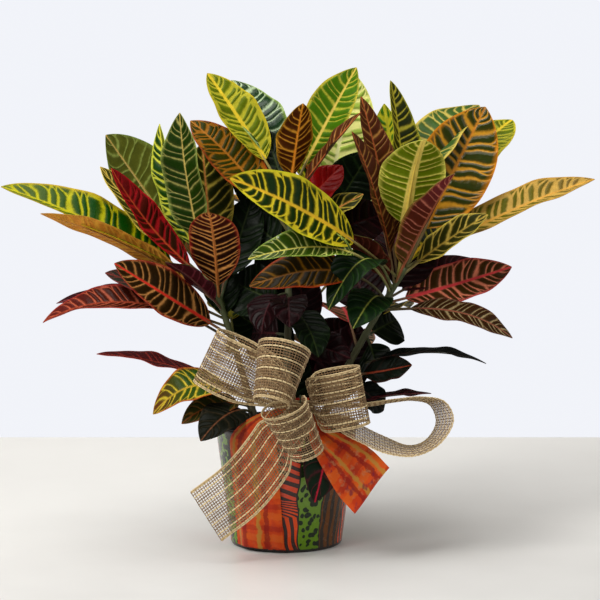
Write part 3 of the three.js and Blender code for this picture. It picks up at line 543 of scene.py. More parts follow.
LOOKS = {
    "gold": look("0c2303", "b7a51e", "c59d24", edge="b2af21", vein=0.115, middle=3, reach=0.74),
    "lime_blocks": look("0a3a03", "9d9907", "a49c14", edge="a6871a", tip="4c5c25", vein=0.13,
        middle=2.6, reach=0.78, pitch=13),
    "lime_yellow": look("4f5e03", "9b9724", "c6ac29", edge="b6a41f", vein=0.19, middle=3.6, reach=0.76,
        pitch=9),
    "lime_bars": look("0c3303", "b6b837", "c4bf3f", edge="aab33a", vein=0.15, reach=0.86),
    "green_glare": look("062b08", "9aae88", "b0b860", edge="8ba64b", vein=0.11, middle=1.6, reach=0.88,
        pitch=11, shiny=True),
    "green_fine": look("162d03", "95904d", "b9a053", edge="808e45", vein=0.055, middle=1.2, reach=0.94,
        pitch=9),
    "dark_orange": look("202803", "ddc550", "e6904e", edge="c0ae48", vein=0.06, middle=1.5, reach=0.9,
        pitch=13),
    "orange_rim": look("2a2e03", "8a570b", "9b611b", edge="943610", vein=0.13, middle=1.8, reach=0.7,
        pitch=8),
    "orange_brown_under": look("492003", "e19d32", "fda61e", edge="c58e1f", vein=0.085, middle=1.9,
        reach=0.93, pitch=8, shows_back=True),
    "green_yellow": look("365d03", "97952a", "bba342", edge="b3a32e", vein=0.09, middle=2.4, reach=0.84,
        pitch=8.5),
    "pale_lime": look("a3c04c", "ffff9d", "ffffb3", edge="ffff8d", vein=0.2, middle=2.4, reach=0.76),
    "purple": look("451e0c", "a67437", "b55631", edge="522018", vein=0.05, middle=1.2, reach=0.94,
        pitch=9),
    "maroon_front_under": look("491503", "bc6d58", "bf643f", edge="9f7832", base="463a11", tip="6b1e26",
        vein=0.05, middle=1.5, reach=0.94, pitch=8.5, shows_back=True),
    "broad_green_under": look("687c08", "f0e66a", "ffe672", edge="f4ec6a", vein=0.08, middle=6.4,
        reach=0.93, pitch=7.5, shows_back=True),
    "orange_veins": look("242c03", "af7b1a", "b07020", edge="be7211", vein=0.125, reach=0.86,
        pitch=11.5, shiny=True),
    "grey_green": look("314e1b", "a89846", "b2904a", edge="b4a044", middle=1.8, reach=0.84, pitch=12),
    "yellow_bars": look("3f7a1c", "d0cb2c", "d8d236", edge="c8cc34", vein=0.2, middle=4.5, pitch=9),
    "dark_bars": look("1b2503", "a39a2c", "aba128", edge="9c9d28", vein=0.13, middle=1.8, reach=0.9,
        pitch=9),
    "gold_blocks": look("505007", "ae8c40", "ba8b37", edge="b38633", tip="765b2c", vein=0.22, middle=3,
        reach=0.74, pitch=11),
    "red_veins": look("372307", "d1785c", "d34146", edge="a72b39", vein=0.11, middle=2.6, reach=0.84,
        pitch=9.5),
    "maroon": look("2b0e12", "64282e", "8e4248", edge="4c1c20", vein=0.04, middle=1.6, reach=0.94),
    "maroon_under": look("3c1016", "74303a", "7c343a", vein=0.045, middle=1.4, reach=0.94,
        shows_back=True),
    "maroon_red": look("4a1518", "8c302a", "983628", edge="9c3024", vein=0.06, middle=1.6, reach=0.9),
    "orange_stripes": look("2f1703", "94825c", "8d4d3b", edge="5a2a27", vein=0.085, middle=1.4,
        reach=0.92, pitch=8),
    "crimson": look("370f03", "98141a", "b84a26", edge="a81018", base="1e1c08", tip="801016", vein=0.15,
        middle=1.6, reach=0.76, pitch=11),
    "dark_gold": look("2c300a", "d8bc54", "c8a846", edge="dcc450", vein=0.07, middle=1.4, reach=0.92,
        pitch=12),
    "olive_under": look("40440f", "74803c", "b09244", edge="6c7c34", vein=0.055, middle=1.8, reach=0.95,
        pitch=13, shows_back=True),
    "orange_under": look("c47c2c", "d09434", "d4903a", edge="d08a34", base="24280f", tip="d08a36",
        vein=0.17, middle=1.5, shows_back=True),
    "red_rib": look("201303", "a5713c", "c82f22", edge="8f181a", vein=0.085, middle=2.4, reach=0.84),
    "grey_red": look("33352e", "82403c", "8c3a34", edge="7a2a28", vein=0.06, middle=1.5, reach=0.9),
    "red_blocks": look("3c0f03", "b4573c", "a13f27", edge="931e1f", tip="631e1b", middle=1.6,
        reach=0.82),
    "orange_vein_under": look("240903", "e8a056", "e68d3f", edge="a41920", tip="500f0c", middle=1.7,
        reach=0.9, pitch=8, shows_back=True),
    # The three deep looks are for leaves inside and under the crown: dark leaf colours, darkened further
    # as painted shade.
    "deep_green_in_shade": look("081206", "18280f", "2c3618", vein=0.045, middle=1.2, reach=0.95),
    "deep_maroon_in_shade": look("150507", "2c0d12", "381418", vein=0.045, middle=1.2, reach=0.95),
    "deep_rib_in_shade": look("0a1c09", "1e3810", "868a3c", vein=0.04, middle=1.2, reach=0.95, pitch=12),
    "pink_rib": look("0f1f12", "4c1c24", "bc1e38", edge="3c1820", vein=0.04, middle=1.7, reach=0.95),
    "black_green": look("0f120a", "2c2416", "6c4028", vein=0.04, middle=1.3, reach=0.95),
    "olive_dark": look("2a2e10", "7c5424", "8c4a24", edge="7a3a20", vein=0.06, middle=1.5, reach=0.9),
    "green_red_edge": look("2b4914", "c0aa30", "b8962e", edge="a82c20", tip="5c2416", middle=1.8),
    "black": look("0f1512", "1e2018", "382020", vein=0.04, middle=1.3, reach=0.95),
    "black_red_rib": look("0f1810", "241c14", "9c3c22", edge="50201a", vein=0.04, middle=1.4,
        reach=0.95),
    "glossy_green": look("294106", "bcc066", "d3c553", edge="8ba841", vein=0.06, middle=1.2, reach=0.93,
        pitch=8, shiny=True),
    "dark_red_edge": look("1c1503", "744d07", "7a4c18", edge="91250f", vein=0.07, middle=1.5,
        reach=0.84),
    "brown_under": look("421b10", "74362a", "8a3c2c", vein=0.05, middle=1.5, reach=0.94,
        shows_back=True),
    "red_young": look("860303", "930b07", "971e10", edge="9e0d0c", vein=0.06, middle=1.4, reach=0.9),
}
print(len(LOOKS), "looks")

# %% [markdown]
# The side of a leaf that isn't in view takes its colours from the one that is: the back of
# a green leaf is paler and duller, and the upper side above a dull back is darker and clearer.

# %% Both sides of a look
def other_side(colour, shows_back):
    grey = sum(colour) / 3
    if shows_back:
        return colour.lerp(Vector((0.02, 0.09, 0.012)), 0.55)
    return colour.lerp(Vector((grey * 1.1 + 0.02, grey + 0.025, grey * 0.5 + 0.01)), 0.55) * 0.9


def palette(style, share, across):
    """Blade, vein and midrib colours at a place of a leaf, for its upper side and its back"""
    if share < 0.5:
        blade = style["base"].lerp(style["blade"], min(1, share * 2.4))
    else:
        blade = style["blade"].lerp(style["tip"], max(0, share * 2.2 - 1.2))
    seen = [blade, style["veins"], style["rib"]]
    if style["edge"]:
        rim = max(0, (abs(across) - 0.86) / 0.14)
        seen = [colour.lerp(style["edge"], rim * strength)
                for colour, strength in zip(seen, (0.75, 0.9, 0.2))]
    hidden = [other_side(colour, style["shows_back"]) for colour in seen]
    return (hidden, seen) if style["shows_back"] else (seen, hidden)

# %% [markdown]
# ## Painting a leaf
# One shader group draws the veins for every leaf. It reads where a point is on its blade:
# how far across from the midrib, and how many veins along. Side veins leave the midrib
# sloping forwards. Between them lie the blocks of blade colour, rounded at their corners.
# Near the edge a vein often forks, and a small block of blade colour fills the fork.

# %% The vein pattern
LEAF_SOCKETS = (("Blade", "Color"), ("Veins", "Color"), ("Rib", "Color"), ("Place", "Vector"),
                ("Object place", "Vector"), ("Vein width", "Float"), ("Span", "Float"),
                ("Rib share", "Float"), ("Reach", "Float"))
leaf_pattern = bpy.data.node_groups.new("croton veins", "ShaderNodeTree")
for name, kind in LEAF_SOCKETS:
    leaf_pattern.interface.new_socket(name, in_out="INPUT", socket_type="NodeSocket" + kind)
for name, kind in (("Colour", "Color"), ("Blocks", "Float"), ("Mottle", "Float")):
    leaf_pattern.interface.new_socket(name, in_out="OUTPUT", socket_type="NodeSocket" + kind)


def lot(number):
    """A chance value from 0 to 1 that is the same for the same number"""
    return from_node(number.tree, "ShaderNodeTexWhiteNoise", "Value", {"W": number},
                     noise_dimensions="1D")


VEIN_SLOPE, VEIN_BEND = 1.1, 0.45
HALF_SHIFT, SWAY, UNEVEN = 0.37, 0.9, 0.2
LINE_BLUR = 0.1
RIM_STARTS = 0.955


def draw_veins(tree):
    inputs = put(tree, "NodeGroupInput").outputs
    given = {name: Value(tree, inputs[name]) for name, _ in LEAF_SOCKETS}
    span, rib_share = given["Span"], given["Rib share"]
    across, veins_along, _ = axes(given["Place"])
    out = abs(across)
    half = sums("GREATER_THAN", across, 0)
    sway = grain(given["Object place"], 40, 0) - 0.5
    blot = grain(given["Object place"], 260) - 0.5
    mottle = grain(given["Object place"], 110, 4, 0.6)

    # the side veins: sloped, shifted between the two halves, and unevenly spaced
    slope = out * VEIN_SLOPE + out ** 3 * VEIN_BEND
    along = veins_along - slope + half * HALF_SHIFT + sway * SWAY
    along = along + sums("SINE", along * 2.3) * UNEVEN
    vein = sums("ROUND", along)
    from_vein = abs(along - vein)
    chance = lot(vein + half * 57.3)
    width = given["Vein width"] * (1.45 - out * 0.8) * (chance * 0.6 + 0.7)
    opens = given["Reach"] - chance * 0.35
    fork = soft_step(out, opens, opens + 0.5) * (sums("GREATER_THAN", chance, 0.3) * 0.46)

    # the blocks between midrib, veins and edge, and the small ones inside the forks
    luck = lot(sums("FLOOR", along) + half * 31.7)
    reach = given["Reach"] + (luck - 0.5) * (1 - given["Reach"])
    from_rib = (out - rib_share) * span
    to_edge = (reach + 0.1 - out) * span
    blocks = sums("SMOOTH_MIN", from_rib, to_edge, 0.12)
    blocks = sums("SMOOTH_MIN", blocks, from_vein - width - fork, 0.14)
    between = fork - width * 0.7 - from_vein
    between = sums("SMOOTH_MIN", between, (RIM_STARTS - out) * span, 0.06)
    shape = sums("MAXIMUM", blocks, between) + blot * 0.16
    dome = soft_step(shape, -0.12, 0.3)

    lines = paint(soft_step(rib_share - out, -0.05, 0.03), given["Veins"], given["Rib"])
    pale = paint(0.12, given["Blade"], given["Veins"])
    filling = paint(dome * (mottle + 0.5), pale, given["Blade"])
    colour = paint(soft_step(shape, -LINE_BLUR, LINE_BLUR), lines, filling)
    shaded = from_node(tree, "ShaderNodeVectorMath", 0, {0: colour, "Scale": mottle * 0.8 + 0.6},
                       operation="SCALE")
    put(tree, "NodeGroupOutput", {"Colour": shaded, "Blocks": dome, "Mottle": mottle})


draw_veins(leaf_pattern)

# %% [markdown]
# The group's sockets are filled from what each point of a blade carries: its colours, and
# how the pattern is drawn there. The blocks bulge on the upper side and sink on the back.
# Glossy leaves get a third surface, which is smoother.

# %% Upper side and back of a leaf
def leaf_paint(name, ending, bulge, dull, shine):
    material, shader, place = new_surface(name, Specular_IOR_Level=shine)
    tree = place.tree
    drawing = put(tree, "ShaderNodeAttribute", attribute_name="drawing").outputs
    parts = put(tree, "ShaderNodeSeparateColor", {"Color": Value(tree, drawing["Color"])}).outputs
    sockets = {"Vein width": Value(tree, parts["Red"]), "Span": Value(tree, parts["Green"]),
               "Rib share": Value(tree, parts["Blue"]), "Reach": Value(tree, drawing["Alpha"]),
               "Place": from_node(tree, "ShaderNodeUVMap", "UV", uv_map="leaf place"),
               "Object place": place}
    for socket in ("Blade", "Veins", "Rib"):
        sockets[socket] = own_tone(tree, socket.lower() + ending)
    made = put(tree, "ShaderNodeGroup", sockets, node_tree=leaf_pattern).outputs
    colour, blocks, mottle = (Value(tree, made[n]) for n in ("Colour", "Blocks", "Mottle"))
    rough = mottle * 0.16 + dull - blocks * 0.06
    dress(shader, colour, rough, bumps(blocks * bulge + mottle * 0.5, 1.1, 0.8))
    return material


leaf_top = leaf_paint("leaf upper side", "", bulge=1, dull=0.34, shine=0.07)
leaf_back = leaf_paint("leaf back", "_back", bulge=-1, dull=0.48, shine=0.05)
shiny_top = leaf_paint("shiny upper side", "", bulge=1, dull=0.16, shine=0.24)

# %% [markdown]
# ## The shape of a leaf
# A leaf hangs on one curve from its stem to its tip. Its blade is widest past the middle
# and narrows to a point. Its halves fold up from the midrib to a soft gutter, and its edge
# waves a little. The stalk runs on under the blade as the midrib and thins towards the tip.

# %% The line and the blade of a leaf
LEAF_THICKNESS = 0.6
BLADE_ROWS = 36
BLADE_COLUMNS = 16
EDGE_RIPPLE = 0.7
RIPPLES = 26
MIDRIB_THINS_BY = 0.55
WIDEST_PAST_MIDDLE, ROUNDNESS, SHOULDERS = 0.93, 2.3, 0.85


def on_line(points, t):
    a, b, c, d = points
    return a * (1 - t) ** 3 + b * 3 * t * (1 - t) ** 2 + c * 3 * t * t * (1 - t) + d * t ** 3


def leaf_line(stem, row):
    start = on_stem(stem, row["at"])
    chord = row["tip"] - start
    way = chord.normalized()
    face = (row["face"] - way * row["face"].dot(way)).normalized()
    near = start + chord / 3 + face * row["bow"] * 4 / 3
    far = start + chord * 2 / 3 + face * (row["bow"] * 4 / 3 + row["droop"])
    points = (start, near, far, row["tip"])
    length = distances([on_line(points, i / 100) for i in range(101)])[-1]
    return points, face, length


def leaf_directions(points, face, t):
    a, b, c, d = points
    ahead = (b - a) * (1 - t) ** 2 + (c - b) * 2 * t * (1 - t) + (d - c) * t * t
    ahead.normalize()
    up = (face - ahead * face.dot(ahead)).normalized()
    return up, ahead.cross(up)


def half_width(row, share):
    place = abs(2 * share ** WIDEST_PAST_MIDDLE - 1)
    return max(0.5, row["width"] / 2 * (1 - place ** ROUNDNESS) ** SHOULDERS)


def make_blade(bm, layers, stem, row, chance):
    points, face, length = leaf_line(stem, row)
    stalk_share = row["stalk"] / length
    style = LOOKS[row["look"]]
    ripple = chance.uniform(0, 6)
    rows = []
    for i in range(BLADE_ROWS + 1):
        t = i / BLADE_ROWS
        share = min(1, max(0, t - 0.07 * math.sin(2 * math.pi * t)))
        along = stalk_share + (1 - stalk_share) * share
        rows.append((share, on_line(points, along), *leaf_directions(points, face, along),
                     half_width(row, share)))

    def across_of(column):
        return math.sin((column / BLADE_COLUMNS * 2 - 1) * math.pi / 2)

    def where(i, column, side):
        share, centre, up, wide, half = rows[i]
        across = across_of(column)
        gutter = math.sqrt(across * across + 0.004) - 0.063
        calm = math.sin(math.pi * share)
        swing = row["wave"] * math.sin(4 * math.pi * share + across) * calm
        edge = EDGE_RIPPLE * math.sin(RIPPLES * share + ripple + across) * across * across * calm
        rise = gutter * (half * math.sin(row["fold"]) + swing) + edge
        sideways = wide * across * half * math.cos(row["fold"])
        return centre + sideways + up * (rise + side * LEAF_THICKNESS / 2)

    count = (length - row["stalk"]) / style["pitch"]
    shift = chance.uniform(0, 50)
    upper, lower = sheet(bm, BLADE_ROWS, BLADE_COLUMNS, where, under_slot=1)
    for f in {f for vert in upper for f in vert.link_faces}:
        f.material_index = 2 if style["shiny"] else 0
    for vert, (i, column) in (*upper.items(), *lower.items()):
        share, half = rows[i][0], rows[i][4]
        across = across_of(column)
        top, back = palette(style, share, across)
        for layer, colour in zip(layers["tones"], (*top, *back)):
            vert[layer] = (*colour, 1)
        middle = style["middle"] * (1 - MIDRIB_THINS_BY * share)
        vert[layers["drawing"]] = (style["vein"], half / style["pitch"],
                                   min(0.9, middle / half), style["reach"])
        for loop in vert.link_loops:
            loop[layers["place"]].uv = (across, share * count + shift)

# %% [markdown]
# All blades of a stem go into one piece. Before they are made, the mesh gets a layer for
# each colour, one for how the veins are drawn, and one for the place on the blade.

# %% Make the blades
def make_leaves(name):
    bm = bmesh.new()
    tones = [n + ending for ending in ("", "_back") for n in ("blade", "veins", "rib")]
    for layer in (*tones, "drawing"):
        bm.verts.layers.float_color.new(layer)
    bm.loops.layers.uv.new("leaf place")
    colours = bm.verts.layers.float_color
    layers = {"tones": [colours[n] for n in tones], "drawing": colours["drawing"],
              "place": bm.loops.layers.uv["leaf place"]}
    chance = random.Random(name)
    for row in LEAVES[name]:
        make_blade(bm, layers, name, row, chance)
    finish_piece("leaves_" + name, bm, "leafy_stem_" + name, [leaf_top, leaf_back, shiny_top])


for name in STEMS:
    make_leaves(name)

# %% [markdown]
# ## Stems and stalks
# The stems are woody and grey-brown below and greener above, with a scar where each leaf
# left them. A stalk takes the colour of its leaf's midrib, which it becomes.

# %% Stems and stalks
stem_paint, shader, place = new_surface("stem and stalk", Specular_IOR_Level=0.4)
fibres = grain(stretched(place, (1, 1, 0.25)), 420, 3)
colour = paint(fibres * 0.7, own_tone(place.tree, "tone"), "3a2c1c", "SOFT_LIGHT")
dress(shader, colour, fibres * 0.25 + 0.42, bumps(fibres, 0.3, 0.5))

STEM_FOOT = 62
FOOT_STEPS, STEM_STEPS, STEM_SIDES = 4, 48, 12
STEM_RADIUS, STEM_THINS_BY, SCAR = 5, 2.2, 0.5
STALK_STEPS, STALK_SIDES = 32, 7
STALK_RADIUS = 1.6
WOOD = tone("5c5244")
GREEN_WOOD = tone("4e5c34")


def stem_line(name):
    foot = Vector((*STEMS[name][0], STEM_FOOT))
    buried = [foot + Vector((0, 0, (SOIL_LINE - STEM_FOOT) * i / FOOT_STEPS))
              for i in range(FOOT_STEPS)]
    return buried + [on_stem(name, i / STEM_STEPS) for i in range(STEM_STEPS + 1)]


def make_stalk(bm, layer, stem, row):
    points, face, length = leaf_line(stem, row)
    stalk_share = row["stalk"] / length
    rib = palette(LOOKS[row["look"]], 0.1, 0)[1][2]
    centres, radii = [], []
    for i in range(STALK_STEPS + 1):
        t = i / STALK_STEPS
        up, _ = leaf_directions(points, face, t)
        on_blade = max(0, (t - stalk_share) / (1 - stalk_share))
        radius = STALK_RADIUS * (1 - 0.84 * on_blade ** 0.8)
        centres.append(on_line(points, t) - up * radius * 0.78 * min(1, on_blade * 12))
        radii.append(radius)
    for vert, (step, _) in rod(bm, centres, radii, STALK_SIDES, face).items():
        green = max(0, 1 - step / STALK_STEPS / max(stalk_share, 0.01))
        vert[layer] = (*rib.lerp(GREEN_WOOD, 0.25 + 0.5 * green), 1)


def make_stem(name):
    bm = bmesh.new()
    layer = bm.verts.layers.float_color.new("tone")
    centres = stem_line(name)
    scars = [round(FOOT_STEPS + row["at"] * STEM_STEPS) for row in LEAVES[name]]
    radii = []
    for i in range(len(centres)):
        share = i / (len(centres) - 1)
        radii.append(STEM_RADIUS - STEM_THINS_BY * share + (SCAR if i in scars or i % 7 == 3 else 0))
    for vert, (step, _) in rod(bm, centres, radii, STEM_SIDES).items():
        vert[layer] = (*WOOD.lerp(GREEN_WOOD, step / len(centres)), 1)
    for row in LEAVES[name]:
        make_stalk(bm, layer, name, row)
    finish_piece("stems_" + name, bm, "leafy_stem_" + name, [stem_paint])


for name in STEMS:
    make_stem(name)

# %% [markdown]
# ## Pot cover
# The cover is a thin cup of printed plastic, made as a profile spun round its axis. Its
# print is a patchwork of three common animal patterns, laid out afresh here: zebra
# stripes, leopard spots on green and upright tiger stripes. It repeats four times round.

# %% Print of the cover
COVER_HEIGHT, COVER_BASE, COVER_TOP = 139, 64, 82
REPEAT = 90
ZEBRA_END, LEOPARD_END = 37, 60
ZEBRA_STEP, TIGER_STEP = 9, 12
FULL_TURN = 2 * math.pi


def cover_radius(height):
    return COVER_BASE + (COVER_TOP - COVER_BASE) * height / COVER_HEIGHT


cover_paint, shader, place = new_surface("printed cover", Coat_Weight=0.22, Coat_Roughness=0.06,
                                         Specular_IOR_Level=0.15)
x, y, z = axes(place)
degrees = sums("ARCTAN2", x, y * -1) * (180 / math.pi)
height = z * 1000
wander = grain(place, 24, 1) - 0.5
ripple = grain(place, 90) - 0.5
panel = (degrees + 25 + wander * 9) % REPEAT


def zebra():
    tilt = sums("MAXIMUM", sums("MINIMUM", (62 - height) * 0.05, 1), 0)
    level = height + degrees * 0.35
    upright = degrees * 1.15 + height * 0.15
    lines = level * (1 - tilt) + upright * tilt + wander * 13
    wave = sums("SINE", lines * (FULL_TURN / ZEBRA_STEP))
    return paint(soft_step(wave, -0.12, 0.12), paint(tilt, "cc4629", "d84815"), "3b2b26")


def leopard():
    flat = from_node(place.tree, "ShaderNodeCombineXYZ", 0, {"X": degrees * 1.35, "Y": height})
    push = from_node(place.tree, "ShaderNodeCombineXYZ", 0, {"X": ripple * 9, "Y": wander * 9})
    warped = from_node(place.tree, "ShaderNodeVectorMath", 0, {0: flat, 1: push}, operation="ADD")
    spot = from_node(place.tree, "ShaderNodeTexVoronoi", "Distance",
                     {"Vector": warped, "Scale": 0.12}, voronoi_dimensions="2D")
    ground = paint(soft_step(height, 20, 90), "5e8510", "6c8b3a")
    return paint(soft_step(spot + ripple * 0.8, 0.42, 0.34), ground, "17240f")


def tiger():
    lines = degrees * 1.3 + (wander * 15 + ripple * 5)
    wave = sums("SINE", lines * (FULL_TURN / TIGER_STEP))
    taper = sums("SINE", (height + degrees * 2) * 0.1)
    return paint(soft_step(wave + taper * 0.4, -0.1, 0.15), "663a12", "312820")


is_leopard = sums("GREATER_THAN", panel, ZEBRA_END)
is_tiger = sums("GREATER_THAN", panel, LEOPARD_END)
colour = paint(is_tiger, paint(is_leopard, zebra(), leopard()), tiger())
seam = sums("MINIMUM", abs(panel - ZEBRA_END), abs(panel - LEOPARD_END))
seam = sums("MINIMUM", seam, sums("MINIMUM", panel, REPEAT - panel))
colour = paint(soft_step(seam, 0.5, 0.9), "2c2320", colour)
colour = paint(soft_step(height, 4.2, 3.2) + soft_step(height, 132, 133), colour, "2a2523")
dress(shader, colour, grain(place, 150) * 0.12 + 0.2,
      bumps(grain(stretched(place, (1, 1, 0.3)), 26), 1.2, 0.35))

# %% [markdown]
# The cup's profile runs from the middle of its base up the outside, over a thin bead and
# the lip, and down the inside. One spin round the axis closes it to a solid wall.

# %% Spin the cover
COVER_WALL, COVER_FLOOR = 1.6, 3
BEAD, BEAD_DEPTH, BASE_EDGE = 1.2, 5, 2


def make_cover():
    bead = COVER_HEIGHT - BEAD_DEPTH
    wall = [(cover_radius(level), level) for level in (2, bead * 0.35, bead * 0.7, bead)]
    top = cover_radius(COVER_HEIGHT)
    profile = [(0, 0), (COVER_BASE - BASE_EDGE, 0), (COVER_BASE - 0.6, 0.5), *wall,
               (wall[-1][0] + BEAD, bead + 1.2), (top + 0.9, COVER_HEIGHT - 1),
               (top + 0.4, COVER_HEIGHT), (top - 1.2, COVER_HEIGHT),
               (top - COVER_WALL, COVER_HEIGHT - 0.6),
               (cover_radius(COVER_FLOOR) - COVER_WALL, COVER_FLOOR), (0, COVER_FLOOR)]
    bm = bmesh.new()
    verts = [bm.verts.new(Vector((r, 0, level)) * MM) for r, level in profile]
    edges = [bm.edges.new(pair) for pair in zip(verts, verts[1:])]
    bmesh.ops.spin(bm, geom=verts + edges, axis=(0, 0, 1), cent=(0, 0, 0), angle=FULL_TURN,
                   steps=96, use_merge=True)
    bmesh.ops.remove_doubles(bm, verts=bm.verts, dist=1e-6)
    bmesh.ops.recalc_face_normals(bm, faces=bm.faces)
    cover = finish_piece("printed_cover", bm, "pot_cover", [cover_paint])
    cover.data.set_sharp_from_angle(angle=math.radians(40))


make_cover()

# %% [markdown]
# ## What the cover hides
# The black nursery pot, its soil and the bow's wire already have their true shapes in the
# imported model, so they stay as they are and only get their surfaces.

# %% Nursery pot, soil and wire
nursery_paint, shader, place = new_surface("black nursery pot", Specular_IOR_Level=0.4)
scuffs = grain(place, 120, 4)
dress(shader, paint(scuffs, "121413", "232726"), scuffs * 0.2 + 0.45,
      bumps(grain(place, 600), 0.15, 0.4))

soil_paint, shader, place = new_surface("potting soil")
crumbs = from_node(place.tree, "ShaderNodeTexVoronoi", "Distance", {"Vector": place, "Scale": 380})
damp = grain(place, 60, 5, 0.7)
dress(shader, paint(damp, "120c08", "3a2819"), damp * 0.2 + 0.75, bumps(crumbs + damp, 2.5))

wire_paint, shader, place = new_surface("wrapped wire", Specular_IOR_Level=0.4)
wrap = from_node(place.tree, "ShaderNodeTexWave", "Fac",
                 {"Vector": place, "Scale": 260, "Distortion": 2}, bands_direction="DIAGONAL")
dress(shader, paint(wrap, "1f2c14", "36451f"), wrap * 0.15 + 0.5, bumps(wrap, 0.2, 0.5))

hidden = {"nursery_pot": nursery_paint, "potting_soil": soil_paint, "bow_wire": wire_paint}
for node, surface in hidden.items():
    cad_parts[node].data.materials.clear()
    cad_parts[node].data.materials.append(surface)
    print(node, "painted")

# %% [markdown]
# ## The lines of the bow
# The ribbon is 64 mm wide. A ring loop is an oval round an axis, pinched to the knot on one
# side. The wide open loop and the tails follow a smooth line through a few points, and the
# way across them turns as they go. These are the same lines that the plain solids follow.

# %% The lines of the bow
RIBBON_WIDTH = 64
PINCHED = 0.2
KNOT = Vector((16, -108, 176))
# centre, axis, reach, bulge, flare, and where the loop leaves the knot
RINGS = {
    "left": ((-60, -110, 220), (0.42, -0.12, 0.9), 31, 17, 0, (-13, 1, 3)),
    "upper": ((-8, -152, 217), (0.22, 0.42, 0.88), 24, 24.5, 0.18, (-7, -5, 4)),
    "lower": ((11, -158, 158), (-0.4, -0.34, 0.85), 18, 23, 0.17, (11, -5, -5)),
    "right": ((57, -118, 185), (-0.24, -0.05, 0.97), 32, 17, 0.06, (13, 1, 4)),
}
OPEN_LOOP = [(28, -107, 171), (50, -103, 160), (77, -97, 146), (110, -94, 130), (140, -92, 123),
             (163, -90, 132), (177, -86, 155), (169, -78, 174), (147, -70, 178), (122, -65, 175),
             (88, -64, 170), (52, -76, 172), (30, -104, 179)]
OPEN_LOOP_ACROSS = [(0.02, 0.97, 0.16), (0.02, 0.97, 0.12), (-0.24, 0.94, -0.2), (0.05, 0.97, -0.22),
                    (0.05, 0.97, -0.24)]
WOVEN_TAIL = [(4, -112, 168), (-4, -122, 148), (-24, -126, 116), (-50, -124, 85), (-88, -118, 54)]
WOVEN_TAIL_ACROSS = [(0.54, -0.1, -0.84), (0.54, -0.1, -0.84)]
PLAID_TAIL = [(21, -92, 172), (28, -95, 161), (37, -101, 141), (65, -110, 114), (95, -119, 83)]
PLAID_TAIL_ACROSS = [(0.61, 0.1, 0.79), (0.61, 0.1, 0.79)]


# %% [markdown]
# A smooth line passes through all its points, and knows how far along each place is. With
# it a loop or tail becomes a surface: any share of its length and any place across it give
# one point, narrower where the wire gathers the ribbon.

# %% Smooth lines
LINE_STEPS = 200


class Line:
    """A smooth line through points"""

    def __init__(self, points):
        self.points = [Vector(p) for p in points]
        self.far = distances([self.point(i / LINE_STEPS) for i in range(LINE_STEPS + 1)])

    def point(self, share):
        p = self.points
        place = share * (len(p) - 1)
        i = min(int(place), len(p) - 2)
        t = place - i
        x1, x2 = p[i], p[i + 1]
        x0 = p[i - 1] if i > 0 else x1 * 2 - x2
        x3 = p[i + 2] if i + 2 < len(p) else x2 * 2 - x1
        d1 = max((x2 - x1).length ** 0.5, 1e-4)
        d0 = max((x1 - x0).length ** 0.5, 1e-4)
        d2 = max((x3 - x2).length ** 0.5, 1e-4)
        t1 = ((x1 - x0) / d0 - (x2 - x0) / (d0 + d1) + (x2 - x1) / d1) * d1
        t2 = ((x2 - x1) / d1 - (x3 - x1) / (d1 + d2) + (x3 - x2) / d2) * d1
        cubic = x1 * 2 - x2 * 2 + t1 + t2
        square = x2 * 3 - x1 * 3 - t1 * 2 - t2
        return x1 + t1 * t + square * t * t + cubic * t ** 3

    def at(self, share):
        """The point at a share of the line's length"""
        goal = min(1, max(0, share)) * self.far[-1]
        low, high = 0, LINE_STEPS
        while high - low > 1:
            mid = (low + high) // 2
            low, high = (mid, high) if self.far[mid] <= goal else (low, mid)
        span = self.far[high] - self.far[low]
        return self.point((low + (goal - self.far[low]) / max(span, 1e-9)) / LINE_STEPS)


def eased(value, low, high):
    t = min(1, max(0, (value - low) / (high - low)))
    return t * t * (3 - 2 * t)


# %% Surfaces of the loops and tails
def ring_place(ring):
    centre, axis, reach, bulge, flare, leaves_knot = ring
    axis = Vector(axis).normalized()
    start = KNOT + Vector(leaves_knot)
    inward = start - Vector(centre)
    inward = (inward - axis * inward.dot(axis)).normalized()
    outward = axis.cross(inward)

    def place(share, across):
        angle = 2 * math.pi * share
        swell = 1 + flare * across
        point = Vector(centre) + inward * reach * math.cos(angle) * swell
        point += outward * bulge * math.sin(angle) * swell
        gathered = max(0, math.cos(angle)) ** 8
        width = RIBBON_WIDTH / 2 * (1 - (1 - PINCHED) * gathered)
        return point.lerp(start, gathered) + axis * across * width
    return place


def line_place(points, turns, opening=0.3, both_ends=False):
    line = Line(points)
    turning = Line(turns)

    def place(share, across):
        at = min(1, max(0, share))
        from_knot = min(at, 1 - at) if both_ends else at
        width = RIBBON_WIDTH / 2 * (PINCHED + (1 - PINCHED) * eased(from_knot, 0, opening))
        return line.at(at) + turning.point(at).normalized() * across * width
    return place


# %% [markdown]
# ## Weaving the open ribbon
# The tan ribbon is an open weave, so it is made of its threads. The long ones, the warp, run
# along it: tan, with a thick cream one every fourth and a few close together at each edge,
# over its hidden wire. The short ones cross it every three millimetres and pass over and
# under the long ones. Each thread is a slim flattened rod.

# %% Thread colours
thread_paint, shader, place = new_surface("burlap thread", Sheen_Weight=0.1, Specular_IOR_Level=0.15)
fuzz = grain(place, 900, 3, 0.6)
patches = soft_step(grain(place, 45), 0.45, 0.8)
colour = paint(fuzz * 0.8, own_tone(place.tree, "tone"), "d8c49c", "SOFT_LIGHT")
colour = paint(patches * 0.35, colour, "7a5f40", "MULTIPLY")
dress(shader, colour, fuzz * 0.3 + 0.55, bumps(fuzz, 0.25, 0.8))

CREAM = tone("d2c09c")
TAN = tone("866f54")
BROWN = tone("4a382a")

# %% [markdown]
# A thread follows a path of points and carries one hue, a little lighter or darker than
# its kind. The cross threads stand evenly along the ribbon, however its line bends.

